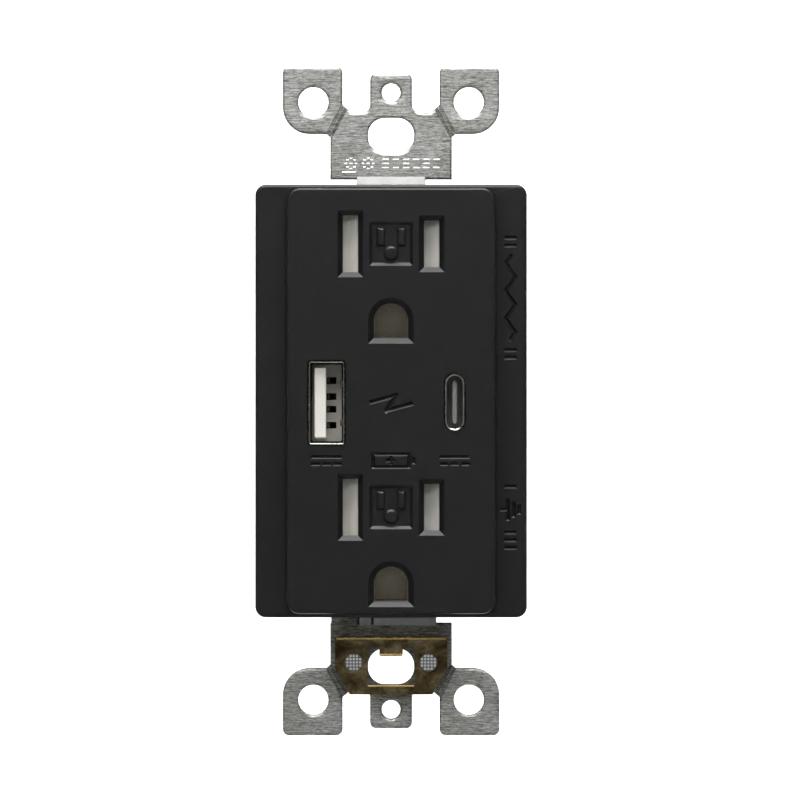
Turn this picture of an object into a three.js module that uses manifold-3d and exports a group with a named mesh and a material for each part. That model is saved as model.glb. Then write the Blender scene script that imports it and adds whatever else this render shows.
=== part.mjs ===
// A duplex wall receptacle with two shuttered outlets, a USB-A port and a USB-C port, as an assembly:
// front cover, rear body, steel mounting strap, contacts, shutters, charger boards, terminals and screws.
// Millimetres. X runs to the right as the user sees the face, Y runs into the wall, Z runs up. The origin
// is midway between the two mounting slots, on the back plane of the strap's ears, which lies on the wall.
import * as THREE from "three";
import { mergeVertices } from "three/addons/utils/BufferGeometryUtils.js";
import Module from "manifold-3d";

const wasm = await Module();
wasm.setup();

// ---------- Driving dimensions ----------
const GAP = 0.3; // left between two pieces that touch
const CUT = 1; // how far a cutting shape runs past what it cuts

// Standard spacings of the plug, the wall box and the wall plate.
const BLADE_SPACING = 12.7;
const GROUND_DROP = 12.0; // from the blades' centre line down to the centre of the ground hole's arc
const MOUNT_SPACING = 83.3;
const PLATE_SCREW_SPACING = 96.8;
const OUTLET_Z = { upper: 24.6, lower: -16.6 };

// Front cover: a flange with a raised face.
const FLANGE = { width: 42.6, height: 67.9, radius: 1.7, front: -3.9, back: -0.2 };
const FACE = { width: 32.8, height: 66.6, radius: 2.0, front: -8.6, wall: 1.6 };
const COVER_WALL = 1.5;
const FLANGE_WALL = 1.4;
const BLADE_SLOT = { width: 2.4, neutral: 8.9, hot: 7.3, lead: 0.8 }; // lead is the 45 degree lead-in
const GROUND_HOLE = { half: 2.7, drop: 2.75, lead: 0.88 };
const PLAQUE = { size: 6.9, depth: 0.35 };

// Rear body: a wide front section that holds the terminals and a narrower rear section.
const BODY = { width: 42.0, height: 67.3, radius: 1.7, front: 0.1, shoulder: 16.0, wall: 1.8 };
const REAR = { width: 31.0, height: 64.4, radius: 1.8, back: 29.5, wall: 1.6 };
const POST = { x: 17.6, z: 30.2, radius: 1.9, length: 7.0, pilot: 1.35 };

// Mounting strap, bent from sheet steel.
const STEEL = 1.3;
const STRAP = { half: 9.55, shoulder: 34.75, bar: 4.4, step: 1.2, rampOuter: 35.3, rampInner: 33.5 };
const EAR = { inner: 7.6, outer: 17.0, end: 52.5, foot: 41.9, corner: 4.1 };
const EAR_HOLE = { radius: 2.35, x: 12.2, z: 46.9 };
const TAB = { half: 3.3, end: 51.4, hole: 1.45 };
const MOUNT_SLOT = { width: 7.2, height: 5.55, radius: 2.3 };
// Where each ramp between the strap's ends and its raised centre bar lies along X.
const RAMP_X = { top: [-5.4, 5.4], bottom: [-2.75, 7.1], beside: [-5.0, -3.1] };
const GROUND_ARM_X = [-9.4, -5.4];
const GROUND_PLATE = { x: [-9.4, -1.4], y: [1.0, 10.6], z: [-35.0, -33.7] };
const GROUND_SCREW_AT = { x: -5.4, y: 6.2 };

// Grounding clip, with the bosses that hold it.
const CLIP = { thick: 0.4, top: -37.1, bottom: -46.1, waist: 6.5, side: 8.8, shoulder: -41.9 };
const CLIP_BOSS = { x: 5.85, z: -41.0, radius: 1.15 };

// USB ports, by the centre of each opening.
const USB_A = { x: -10.1, z: -0.3, width: 5.7, height: 13.1, sheet: 0.3, front: -8.4, back: 5.9 };
const USB_C = { x: 9.95, z: -0.2, width: 3.16, height: 8.94, sheet: 0.3, front: -8.4, back: 5.9 };

// Side terminals.
const TERMINAL_Z = { upper: 18.0, lower: -12.0 };
const TERMINAL_Y = 6.2;
const TERMINAL_PLATE = { inner: 14.9, outer: 16.1, half: 4.6 };
const POCKET = { inner: 14.5, half: 5.2, wall: 1.4, floor: 12.4 };
const SCREW = { shank: 1.75, head: 3.9, headThick: 2.5 };
const CLAMP = { size: 8.4, thick: 1.0 };

// Shutter travel, to the right.
const SHUTTER = { pad: 1.3, half: 5.6, front: -6.7, back: -4.3, travel: 3.0 };

// ---------- Materials ----------
function finish(color, roughness, metalness) {
  return new THREE.MeshStandardMaterial({ color, roughness, metalness });
}

const MATERIAL = {
  face: finish(0x1b1b1c, 0.55, 0),
  body: finish(0x232325, 0.6, 0),
  steel: finish(0x9a9c98, 0.4, 1),
  clip: finish(0x7a6132, 0.35, 1),
  brass: finish(0xb8913f, 0.35, 1),
  nickel: finish(0xb9b8b0, 0.3, 1),
  ground: finish(0x2f6b3c, 0.4, 0.6),
  shutter: finish(0xd9d6cd, 0.5, 0),
  insulator: finish(0xe8e6df, 0.5, 0),
  spring: finish(0xa8a8a8, 0.3, 1),
  board: finish(0x2c5b38, 0.6, 0),
  ferrite: finish(0x3a3a3c, 0.8, 0),
  tape: finish(0xc9a227, 0.5, 0),
  capacitor: finish(0x23304f, 0.4, 0),
  epoxy: finish(0x151515, 0.5, 0),
  glass: finish(0xcfd8d8, 0.2, 0),
  lead: finish(0x8a1f1c, 0.6, 0),
};

// ---------- Solids ----------
// A closed three.js geometry as a manifold-3d solid.
function solidOf(geometry) {
  const bare = geometry.index ? geometry.toNonIndexed() : geometry.clone();
  bare.deleteAttribute("normal");
  bare.deleteAttribute("uv");
  const merged = mergeVertices(bare, 1e-4);
  return new wasm.Manifold(
    new wasm.Mesh({
      numProp: 3,
      vertProperties: merged.attributes.position.array,
      triVerts: new Uint32Array(merged.index.array),
    }),
  );
}

const join = (...solids) => solids.reduce((all, one) => all.add(one));
const cut = (solid, ...tools) => tools.reduce((left, tool) => left.subtract(tool), solid);

function block([x0, x1], [y0, y1], [z0, z1]) {
  const box = new THREE.BoxGeometry(x1 - x0, y1 - y0, z1 - z0);
  box.translate((x0 + x1) / 2, (y0 + y1) / 2, (z0 + z1) / 2);
  return solidOf(box);
}

// Shapes are drawn as (x, z) and run back along Y.
const AS_FACE = new THREE.Matrix4().makeBasis(
  new THREE.Vector3(1, 0, 0),
  new THREE.Vector3(0, 0, 1),
  new THREE.Vector3(0, -1, 0),
);
// Shapes are drawn as (y, z) and run along X.
const AS_SIDE = new THREE.Matrix4().makeBasis(
  new THREE.Vector3(0, 1, 0),
  new THREE.Vector3(0, 0, 1),
  new THREE.Vector3(1, 0, 0),
);

function plate(shape, [front, back], curveSegments = 5) {
  const made = new THREE.ExtrudeGeometry(shape, { depth: back - front, bevelEnabled: false, curveSegments });
  made.applyMatrix4(AS_FACE).translate(0, back, 0);
  return solidOf(made);
}

// A plate with both rims rounded inwards by `bevel`.
function softPlate(shape, [front, back], bevel, bevelSegments = 1, curveSegments = 5) {
  const made = new THREE.ExtrudeGeometry(shape, {
    depth: back - front - 2 * bevel,
    bevelThickness: bevel,
    bevelSize: bevel,
    bevelOffset: -bevel,
    bevelSegments,
    curveSegments,
  });
  made.applyMatrix4(AS_FACE).translate(0, back - bevel, 0);
  return solidOf(made);
}

// A tool that opens `shape` through from plane `front`, with a 45 degree lead-in of size `lead`.
function leadIn(shape, front, deep, lead) {
  const made = new THREE.ExtrudeGeometry(shape, {
    depth: CUT,
    bevelThickness: lead,
    bevelSize: lead,
    bevelSegments: 1,
    curveSegments: 8,
  });
  made.applyMatrix4(AS_FACE).translate(0, front, 0);
  return join(solidOf(made), plate(shape, [front - CUT, front + deep], 8));
}

function profileAlongX(points, [x0, x1]) {
  const made = new THREE.ExtrudeGeometry(polygon(points), { depth: x1 - x0, bevelEnabled: false });
  made.applyMatrix4(AS_SIDE).translate(x0, 0, 0);
  return solidOf(made);
}

function profileAlongZ(points, [z0, z1]) {
  const made = new THREE.ExtrudeGeometry(polygon(points), { depth: z1 - z0, bevelEnabled: false });
  made.translate(0, 0, z0);
  return solidOf(made);
}

// A rod whose axis is X, Y or Z, from `from` to `to` on that axis, centred on the point `at`.
function rod(axis, radius, [from, to], [x, y, z] = [0, 0, 0], sides = 16, endRadius = radius) {
  const made = new THREE.CylinderGeometry(endRadius, radius, to - from, sides);
  made.translate(0, (from + to) / 2, 0);
  if (axis === "x") made.rotateZ(-Math.PI / 2);
  if (axis === "z") made.rotateX(Math.PI / 2);
  made.translate(x, y, z);
  return solidOf(made);
}

// A solid of revolution about Z from (radius, z) points, which start and end on the axis.
function turned(points, sides = 16) {
  const made = new THREE.LatheGeometry(
    points.map(([r, z]) => new THREE.Vector2(r, z)),
    sides,
  );
  made.rotateX(Math.PI / 2);
  return solidOf(made);
}

// ---------- Shapes ----------
const polygon = (points) => new THREE.Shape(points.map((point) => new THREE.Vector2(...point)));

function roundedRect(width, height, radius, x = 0, z = 0) {
  const [w, h, r] = [width / 2, height / 2, radius];
  const shape = new THREE.Shape();
  shape.moveTo(x - w + r, z - h);
  shape.lineTo(x + w - r, z - h);
  shape.absarc(x + w - r, z - h + r, r, -Math.PI / 2, 0);
  shape.lineTo(x + w, z + h - r);
  shape.absarc(x + w - r, z + h - r, r, 0, Math.PI / 2);
  shape.lineTo(x - w + r, z + h);
  shape.absarc(x - w + r, z + h - r, r, Math.PI / 2, Math.PI);
  shape.lineTo(x - w, z - h + r);
  shape.absarc(x - w + r, z - h + r, r, Math.PI, 1.5 * Math.PI);
  return shape;
}

const outlineOf = ({ width, height, radius }) => roundedRect(width, height, radius);
const insideOf = ({ width, height }, wall) => roundedRect(width - 2 * wall, height - 2 * wall, 0.8);

function rectangle(width, height, x, z) {
  const [w, h] = [width / 2, height / 2];
  return polygon([
    [x - w, z - h],
    [x + w, z - h],
    [x + w, z + h],
    [x - w, z + h],
  ]);
}

function groundHole(z) {
  const { half, drop } = GROUND_HOLE;
  const shape = new THREE.Shape();
  shape.moveTo(-half, z - drop);
  shape.lineTo(half, z - drop);
  shape.lineTo(half, z);
  shape.absarc(0, z, half, 0, Math.PI);
  return shape;
}

// One end of the strap in outline, drawn for the top end: shoulder, ears, and the wall plate's screw tab.
function strapEnd() {
  const { half, shoulder } = STRAP;
  const small = 0.8;
  const notchFoot = 45.25;
  const fillet = 1.3;
  const shape = new THREE.Shape();
  const side = [
    [half, EAR.foot - 0.3],
    [half + 0.3, EAR.foot],
    [EAR.outer - EAR.corner, EAR.foot],
    { centre: [EAR.outer - EAR.corner, EAR.foot + EAR.corner], radius: EAR.corner, from: -90, to: 0 },
    { centre: [EAR.outer - small, EAR.end - small], radius: small, from: 0, to: 90 },
    { centre: [EAR.inner + small, EAR.end - small], radius: small, from: 90, to: 180 },
    [EAR.inner, 46.5],
    [6.9, 45.7],
    [6.2, notchFoot],
    { centre: [TAB.half + fillet, notchFoot + fillet], radius: fillet, from: 270, to: 180, inward: true },
    { centre: [TAB.half - small, TAB.end - small], radius: small, from: 0, to: 90 },
  ];
  shape.moveTo(-half, shoulder);
  shape.lineTo(half, shoulder);
  const rad = THREE.MathUtils.degToRad;
  for (const step of side) {
    if (Array.isArray(step)) shape.lineTo(...step);
    else shape.absarc(...step.centre, step.radius, rad(step.from), rad(step.to), Boolean(step.inward));
  }
  for (const step of side.reverse()) {
    if (Array.isArray(step)) shape.lineTo(-step[0], step[1]);
    else {
      const [x, z] = step.centre;
      shape.absarc(-x, z, step.radius, rad(180 - step.to), rad(180 - step.from), Boolean(step.inward));
    }
  }
  return shape;
}

// ---------- Front cover ----------
function frontCover() {
  const back = FLANGE.back + CUT;
  const faceBack = FACE.front + FACE.wall;
  const flangeBack = FLANGE.front + FLANGE_WALL;
  const shell = join(
    softPlate(outlineOf(FLANGE), [FLANGE.front, FLANGE.back], 0.5),
    softPlate(outlineOf(FACE), [FACE.front, FLANGE.back - 0.5], 0.6, 2),
  );
  const gateFoot = FACE.height / 2 - COVER_WALL - GAP;
  const gateFront = FLANGE.front + 1;
  const gateAround = 0.4;
  const hollow = join(
    plate(insideOf(FACE, COVER_WALL), [faceBack, back], 2),
    plate(insideOf(FLANGE, COVER_WALL), [flangeBack, back], 2),
  );
  let cover = cut(
    shell,
    hollow,
    // Gates for the strap in the top and bottom rims.
    block(
      [RAMP_X.top[0] - gateAround, RAMP_X.top[1] + gateAround],
      [gateFront, back],
      [gateFoot, FLANGE.height / 2 + CUT],
    ),
    block(
      [GROUND_ARM_X[0] - gateAround, RAMP_X.bottom[1] + gateAround],
      [gateFront, back],
      [-FLANGE.height / 2 - CUT, -gateFoot],
    ),
  );
  // Four posts that the body screws bite into.
  for (const x of [-POST.x, POST.x]) {
    for (const z of [-POST.z, POST.z]) {
      cover = cut(
        join(cover, rod("y", POST.radius, [FLANGE.front + 0.7, POST.length], [x, 0, z])),
        rod("y", POST.pilot, [-1.5, POST.length + CUT], [x, 0, z], 10),
      );
    }
  }
  for (const z of Object.values(OUTLET_Z)) {
    const { width, neutral, hot, lead } = BLADE_SLOT;
    cover = cut(
      cover,
      leadIn(rectangle(width, neutral, -BLADE_SPACING / 2, z), FACE.front, 3, lead),
      leadIn(rectangle(width, hot, BLADE_SPACING / 2, z), FACE.front, 3, lead),
      leadIn(groundHole(z - GROUND_DROP), FACE.front, 3, GROUND_HOLE.lead),
      block(
        [-PLAQUE.size / 2, PLAQUE.size / 2],
        [FACE.front - CUT, FACE.front + PLAQUE.depth],
        [z - PLAQUE.size / 2, z + PLAQUE.size / 2],
      ),
    );
  }
  const aroundPort = 0.5;
  return cut(
    cover,
    plate(
      roundedRect(USB_A.width + aroundPort, USB_A.height + aroundPort, 0.4, USB_A.x, USB_A.z),
      [FACE.front - CUT, 0],
      2,
    ),
    plate(
      roundedRect(USB_C.width + aroundPort, USB_C.height + aroundPort, 1.82, USB_C.x, USB_C.z),
      [FACE.front - CUT, 0],
    ),
  );
}

// ---------- Mounting strap ----------
// The strap's centre bar runs a step nearer the face than its ends, and each end joins it by a ramp.
function strapRamp(sign, [x0, x1]) {
  const { rampOuter, rampInner, step } = STRAP;
  const points = [
    [0, rampOuter + 0.6],
    [-STEEL, rampOuter + 0.6],
    [-STEEL, rampOuter],
    [-STEEL - step, rampInner],
    [-STEEL - step, rampInner - 1],
    [-step, rampInner - 1],
    [-step, rampInner],
    [0, rampOuter],
  ];
  const ordered = sign > 0 ? points : points.map(([y, z]) => [y, -z]).reverse();
  return profileAlongX(ordered, [x0, x1]);
}

function mountingStrap() {
  const flat = [-STEEL, 0];
  const through = [-STEEL - CUT, CUT];
  const top = plate(strapEnd(), flat, 6);
  const bottom = top.mirror([0, 0, 1]);
  const bar = block(
    [-STRAP.bar, STRAP.bar],
    [-STEEL - STRAP.step, -STRAP.step],
    [-STRAP.rampInner - 0.5, STRAP.rampInner + 0.5],
  );
  const [gx, gy, gz] = [GROUND_PLATE.x, GROUND_PLATE.y, GROUND_PLATE.z];
  // The ground terminal: an arm beside the lower ramp, bent back into a plate under the body.
  const groundArm = join(
    block(GROUND_ARM_X, flat, [gz[0] - 1, gz[1]]),
    block(GROUND_ARM_X, [-STEEL, gy[0] + 1], gz),
    block(gx, gy, gz),
  );
  let strap = join(
    top,
    bottom,
    bar,
    strapRamp(1, RAMP_X.top),
    strapRamp(-1, RAMP_X.bottom),
    strapRamp(-1, RAMP_X.beside),
    groundArm,
  );
  const { width, height, radius } = MOUNT_SLOT;
  for (const sign of [1, -1]) {
    strap = cut(
      strap,
      plate(roundedRect(width, height, radius, 0, (sign * MOUNT_SPACING) / 2), through),
      rod("y", TAB.hole, through, [0, 0, (sign * PLATE_SCREW_SPACING) / 2]),
      rod("y", EAR_HOLE.radius, through, [EAR_HOLE.x, 0, sign * EAR_HOLE.z]),
      rod("y", EAR_HOLE.radius, through, [-EAR_HOLE.x, 0, sign * EAR_HOLE.z]),
      snapGroove(1, sign),
      snapGroove(-1, sign),
    );
  }
  // Bosses that hold the grounding clip, spread flat over it.
  for (const x of [-CLIP_BOSS.x, CLIP_BOSS.x]) {
    const boss = rod("y", CLIP_BOSS.radius, [-STEEL - 0.7, -STEEL + 0.3], [x, 0, CLIP_BOSS.z], 14);
    strap = join(strap, boss);
  }
  // Clear holes for the ground pins and the rivets.
  for (const z of Object.values(OUTLET_Z)) {
    const ground = z - GROUND_DROP;
    strap = cut(
      strap,
      plate(roundedRect(5.8, 5.8, 2.4, 0, ground), [-4, CUT], 4),
      rod("y", RIVET.shank + GAP, [-4, CUT], [0, 0, ground + RIVET.offset], 10),
    );
  }
  return cut(
    strap,
    rod("z", SCREW.shank + GAP, [gz[0] - CUT, gz[1] + CUT], [GROUND_SCREW_AT.x, GROUND_SCREW_AT.y, 0]),
  );
}

// A V groove on the front, where the ear snaps off.
function snapGroove(side, end) {
  const depth = 0.4;
  const [start, stop] = [
    [7.3, 46.4],
    [9.7, 41.6],
  ];
  const [dx, dz] = [stop[0] - start[0], stop[1] - start[1]];
  const length = Math.hypot(dx, dz) + 1.4;
  const shape = polygon([
    [-0.55, 0],
    [0.55, 0],
    [0, depth],
  ]);
  const made = new THREE.ExtrudeGeometry(shape, { depth: length, bevelEnabled: false });
  made.translate(0, 0, -length / 2);
  made.rotateY(Math.atan2(dx, dz));
  made.translate((start[0] + stop[0]) / 2, -STEEL, (start[1] + stop[1]) / 2);
  let tool = solidOf(made);
  if (side < 0) tool = tool.mirror([1, 0, 0]);
  return end < 0 ? tool.mirror([0, 0, 1]) : tool;
}

// ---------- Grounding clip ----------
// A sprung brass plate over the lower mounting slot, whose finger touches the mounting screw.
function groundingClip() {
  const front = -STEEL - GAP - CLIP.thick;
  const span = [front, front + CLIP.thick];
  const { waist, side, shoulder, top, bottom } = CLIP;
  const outline = polygon([
    [-waist, bottom],
    [waist, bottom],
    [side, shoulder],
    [side, top],
    [-side, top],
    [-side, shoulder],
  ]);
  const window = polygon([
    [-3.7, -44.7],
    [3.7, -44.7],
    [3.7, -38.6],
    [1.8, -38.6],
    [1.8, -40.0],
    [-1.8, -40.0],
    [-1.8, -38.6],
    [-3.7, -38.6],
  ]);
  const lip = (x, [z0, z1], rise) => block([-x, x], [front - rise, front + 0.1], [z0, z1]);
  const bossHole = (x) => rod("y", CLIP_BOSS.radius + GAP, [front - CUT, CUT], [x, 0, CLIP_BOSS.z], 14);
  return join(
    cut(
      plate(outline, span),
      plate(window, [front - CUT, CUT]),
      bossHole(-CLIP_BOSS.x),
      bossHole(CLIP_BOSS.x),
    ),
    lip(8.4, [top - CLIP.thick, top], 0.5),
    lip(3.6, [-45.1, -44.7], 0.4),
    lip(1.7, [-40.0, -39.6], 0.4),
  );
}

// ---------- Rear body ----------
function rearBody() {
  const { front, shoulder, wall } = BODY;
  let body = join(
    softPlate(outlineOf(BODY), [front, shoulder], 0.4),
    softPlate(outlineOf(REAR), [shoulder - 2, REAR.back], 0.8),
  );
  body = cut(
    body,
    plate(insideOf(BODY, wall), [front - CUT, shoulder - wall], 2),
    plate(insideOf(REAR, REAR.wall), [0, REAR.back - REAR.wall], 2),
  );
  // Screw columns, each with a socket for a cover post, a clear hole and a seat for the screw's head.
  for (const x of [-POST.x, POST.x]) {
    for (const z of [-POST.z, POST.z]) {
      body = cut(
        join(body, rod("y", 3.2, [front, shoulder - 1], [x, 0, z])),
        rod("y", POST.radius + GAP, [front - CUT, POST.length + 0.4], [x, 0, z]),
        rod("y", 1.5, [0, shoulder], [x, 0, z], 12),
        rod("y", 2.7, [shoulder - 2.8, shoulder + CUT], [x, 0, z]),
      );
    }
  }
  // Side pockets, one round each terminal, with two wire holes from behind.
  for (const side of [-1, 1]) {
    const across = (a, b) => (side > 0 ? [a, b] : [-b, -a]);
    for (const z of Object.values(TERMINAL_Z)) {
      const outside = BODY.width / 2;
      body = cut(
        join(
          body,
          block(
            across(POCKET.inner + 0.2, outside - 0.5),
            [front, shoulder - 0.5],
            [z - POCKET.half - POCKET.wall, z + POCKET.half + POCKET.wall],
          ),
        ),
        block(
          across(POCKET.inner, outside + CUT),
          [front - CUT, POCKET.floor],
          [z - POCKET.half, z + POCKET.half],
        ),
      );
      for (const dz of [-2.9, 2.9]) {
        const at = [side * 17.3, 0, z + dz];
        body = cut(
          body,
          rod("y", 1.25, [POCKET.floor - CUT, shoulder + CUT], at, 12),
          rod("y", 1.1, [shoulder - 0.7, shoulder + 0.3], at, 12, 2.1),
        );
      }
    }
  }
  // A relief for the ground plate and a clear hole for the tip of its screw.
  const foot = -BODY.height / 2;
  return cut(
    body,
    block([-9.9, -0.9], [front - CUT, 11.2], [foot - CUT, GROUND_PLATE.z[1] + GAP + 0.5]),
    rod("z", 2.4, [foot - CUT, foot + wall + CUT], [GROUND_SCREW_AT.x, GROUND_SCREW_AT.y, 0]),
  );
}

// ---------- Contacts ----------
const SPINE = { inner: 8.5, outer: 14.2, y: [11.3, 12.1], z: [-19.6, 27.8] };

// The right-hand bus: two blade grips, a spine and two threaded terminal plates. The left one mirrors it.
function busBar(gripHeight) {
  const [y0, y1] = SPINE.y;
  const grip = [
    [4.7, 1.0],
    [5.35, 1.0],
    [5.95, 3.2],
    [5.95, y0],
    [6.75, y0],
    [6.75, 3.2],
    [7.35, 1.0],
    [8.0, 1.0],
    [7.4, 3.2],
    [7.4, y0],
    [9.0, y0],
    [9.0, y1],
    [5.3, y1],
    [5.3, 3.2],
  ];
  let bus = block([SPINE.inner, SPINE.outer], SPINE.y, SPINE.z);
  for (const z of Object.values(OUTLET_Z)) {
    bus = join(bus, profileAlongZ(grip, [z - gripHeight / 2, z + gripHeight / 2]));
  }
  const { inner, outer, half } = TERMINAL_PLATE;
  for (const z of Object.values(TERMINAL_Z)) {
    bus = join(
      bus,
      block([SPINE.outer - 0.5, outer], SPINE.y, [z - half, z + half]),
      block([inner, outer], [2.0, y1], [z - half, z + half]),
    );
    bus = cut(bus, rod("x", SCREW.shank + GAP, [inner - CUT, outer + CUT], [0, TERMINAL_Y, z], 14));
  }
  // The neck between the two outlets, which is snapped out to feed them apart.
  return cut(bus, block([10.4, 13.0], [y0 - CUT, y1 + CUT], [2.0, 5.0]));
}

const RIVET = { shank: 0.6, head: 1.0, offset: 4.2 };

// A folded brass cup that grips the ground pin between two leaves and is riveted to the strap.
function groundContact() {
  const back = -STRAP.step + GAP;
  const base = cut(
    block([-3.6, 3.6], [back, back + 0.6], [-3.0, 5.4]),
    block([-2.45, 2.45], [back - CUT, back + CUT], [-2.6, 2.4]),
    rod("y", RIVET.shank + GAP, [back - CUT, back + CUT], [0, 0, RIVET.offset], 10),
  );
  const leaf = block([2.45, 3.05], [back, 11.9], [-2.4, 2.4]);
  const floor = block([-2.6, 2.6], [11.3, 11.9], [-2.4, 2.4]);
  return join(base, leaf, leaf.mirror([1, 0, 0]), floor);
}

function groundRivet() {
  const strapFront = STEEL + STRAP.step + GAP;
  const { shank, head } = RIVET;
  return turned([
    [0, -0.6],
    [head, -0.6],
    [head, -0.05],
    [shank, -0.05],
    [shank, strapFront],
    [head, strapFront],
    [head * 0.7, strapFront + 0.5],
    [0, strapFront + 0.5],
  ], 10);
}

// An insulating tray between the contacts and the power board.
function contactCarrier() {
  const [front, plateFront, plateBack] = [0.9, 12.4, 13.9];
  let carrier = block([-14.0, 14.0], [plateFront, plateBack], [-31.4, 31.4]);
  // A rib above the USB board and one below it.
  for (const z of [8.9, -9.9]) {
    carrier = join(
      carrier,
      block([-13.9, 13.9], [front, SPINE.y[0] - GAP], [z, z + 1]),
      block([-7.0, 7.0], [SPINE.y[0] - 1, plateFront + 0.5], [z, z + 1]),
    );
  }
  for (const outlet of Object.values(OUTLET_Z)) {
    const z = outlet - GROUND_DROP;
    const chimney = block([-4.1, 4.1], [front, plateFront + 0.5], [Math.max(z - 3.5, -31.4), z + 3.5]);
    const bore = block([-3.4, 3.4], [front - CUT, plateBack + CUT], [z - 2.9, z + 2.9]);
    carrier = cut(join(carrier, chimney), bore);
  }
  return cut(
    carrier,
    block([LINK.x - 1.3, LINK.x + 1.3], [plateFront - CUT, plateBack + CUT], [-LINK.z - 0.5, LINK.z + 0.5]),
    rod("y", LEAD.radius + 0.4, [plateFront - CUT, plateBack + CUT], [LEAD.x, 0, LEAD.z], 10),
    rod("y", LEAD.radius + 0.4, [plateFront - CUT, plateBack + CUT], [-LEAD.x, 0, LEAD.z], 10),
  );
}

// ---------- Shutters ----------
// All of these are drawn about the middle of their outlet.
const PADS = [-BLADE_SPACING / 2, BLADE_SPACING / 2];

// One sliding frame. Sloped pads behind the slots turn the push of both blades into a slide to the right.
function shutter() {
  const { pad, half, front, back } = SHUTTER;
  const end = BLADE_SPACING / 2 + pad;
  const rails = cut(
    block([-end, end], [front + 0.9, back], [-half, half]),
    block([-end + 2 * pad, end - 2 * pad], [front, back + CUT], [-4.8, 4.8]),
  );
  const wedge = (x) =>
    profileAlongZ(
      [
        [x - pad, back],
        [x - pad, back - 0.9],
        [x + pad - 0.5, front],
        [x + pad, front],
        [x + pad, back],
      ],
      [-4.7, 4.7],
    );
  return join(rails, ...PADS.map(wedge));
}

// The tray the shutter slides in, with a bay at the right for its spring.
function shutterCarrier() {
  const { pad, half, travel } = SHUTTER;
  const [front, floor, back] = [-6.8, -3.9, -2.9];
  const closed = BLADE_SPACING / 2 + pad + GAP;
  const wall = 0.8;
  const bay = { end: 13.7, half: 1.5 };
  const shell = join(
    block([-closed - wall, closed + travel + wall], [front, back], [-half - GAP - wall, half + GAP + wall]),
    block([closed + travel, bay.end + wall], [front, back], [-bay.half - wall, bay.half + wall]),
  );
  return cut(
    shell,
    block([-closed, closed + travel], [front - CUT, floor], [-half - GAP, half + GAP]),
    block([closed, bay.end], [front - CUT, floor], [-bay.half, bay.half]),
    ...PADS.map((x) => block([x - 1.4, x + 1.4], [floor - CUT, back + CUT], [-4.75, 4.75])),
  );
}

class Helix extends THREE.Curve {
  constructor(radius, length, turns) {
    super();
    Object.assign(this, { radius, length, turns });
  }
  getPoint(t, target = new THREE.Vector3()) {
    const angle = 2 * Math.PI * this.turns * t;
    return target.set(t * this.length, this.radius * Math.cos(angle), this.radius * Math.sin(angle));
  }
}

const SPRING = { coil: 0.9, wire: 0.17, turns: 4.5, start: 8.15, end: 13.2, y: -5.35 };

function shutterSpring() {
  const { coil, wire, turns, start, end } = SPRING;
  const section = new THREE.Shape().absarc(0, 0, wire, 0, 2 * Math.PI);
  return solidOf(
    new THREE.ExtrudeGeometry(section, {
      extrudePath: new Helix(coil, end - start, turns),
      steps: Math.round(turns * 8),
      curveSegments: 3,
    }),
  );
}

// ---------- USB ports ----------
function usbShell({ width, height, sheet, front, back }, radius, segments) {
  const inside = roundedRect(width - 2 * sheet, height - 2 * sheet, radius - sheet);
  return cut(
    plate(roundedRect(width, height, radius), [front, back], segments),
    plate(inside, [front - CUT, back + CUT], segments),
  );
}

const TONGUE_A = { x: [-1.9, -0.05], half: 5.5, front: -7.5, root: 1.6 };
const PIN_Z = [-3.5, -1.0, 1.0, 3.5];
const PIN_A = { half: 0.35, thick: 0.2, front: -6.6 };

// The tongue and the block behind it, with four pockets beside the tongue for the contacts.
function usbAInsulator() {
  const inset = USB_A.sheet + 0.2;
  const [w, h] = [USB_A.width / 2 - inset, USB_A.height / 2 - inset];
  return cut(
    join(
      block([-w, w], [TONGUE_A.root, 5.6], [-h, h]),
      block(TONGUE_A.x, [TONGUE_A.front, TONGUE_A.root + 0.5], [-TONGUE_A.half, TONGUE_A.half]),
    ),
    ...PIN_Z.map((z) => block([TONGUE_A.x[1], 1.6], [TONGUE_A.root - CUT, 5.6 + CUT], [z - 0.6, z + 0.6])),
  );
}

// A sprung contact that lies along the tongue, with its tail on the board.
function usbAContact() {
  const x = TONGUE_A.x[1] + 0.2;
  return join(
    block([x, x + PIN_A.thick], [PIN_A.front, 5.8], [-PIN_A.half, PIN_A.half]),
    block([x, x + 1.2], [5.6, 5.8], [-PIN_A.half, PIN_A.half]),
  );
}

// The thin tongue and the plug behind it.
function usbCTongue() {
  const inset = USB_C.sheet + 0.2;
  const radius = USB_C.width / 2 - inset;
  return join(
    block([-0.35, 0.35], [-7.6, 0], [-3.35, 3.35]),
    plate(roundedRect(2 * radius, USB_C.height - 2 * inset, radius - 0.01), [-1.4, 5.6], 4),
  );
}

// ---------- Charger electronics ----------
const OUTPUT_BOARD = { y: [6.2, 7.4], x: 13.8, z: 8.6 };
const POWER_BOARD = { y: [25.4, 26.8], x: 13.4, z: 29.4 };
const LINK = { x: -6.5, half: 0.9, z: 5.0 };
const LEAD = { x: 11.5, z: 27.3, radius: 0.8 };
const PARTS_BACK = POWER_BOARD.y[0] - GAP;

const CORE = { x: 2.2, y: [16.9, 23.1], half: 6.8, limb: 1.8, window: 4.6, yoke: 4.8, height: 6.5 };

// A ferrite frame with a middle limb along Z.
function transformerCore() {
  const through = [CORE.y[0] - CUT, CORE.y[1] + CUT];
  return cut(
    block([-CORE.half, CORE.half], CORE.y, [-CORE.height, CORE.height]),
    block([-CORE.window, -CORE.limb], through, [-CORE.yoke, CORE.yoke]),
    block([CORE.limb, CORE.window], through, [-CORE.yoke, CORE.yoke]),
  );
}

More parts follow.
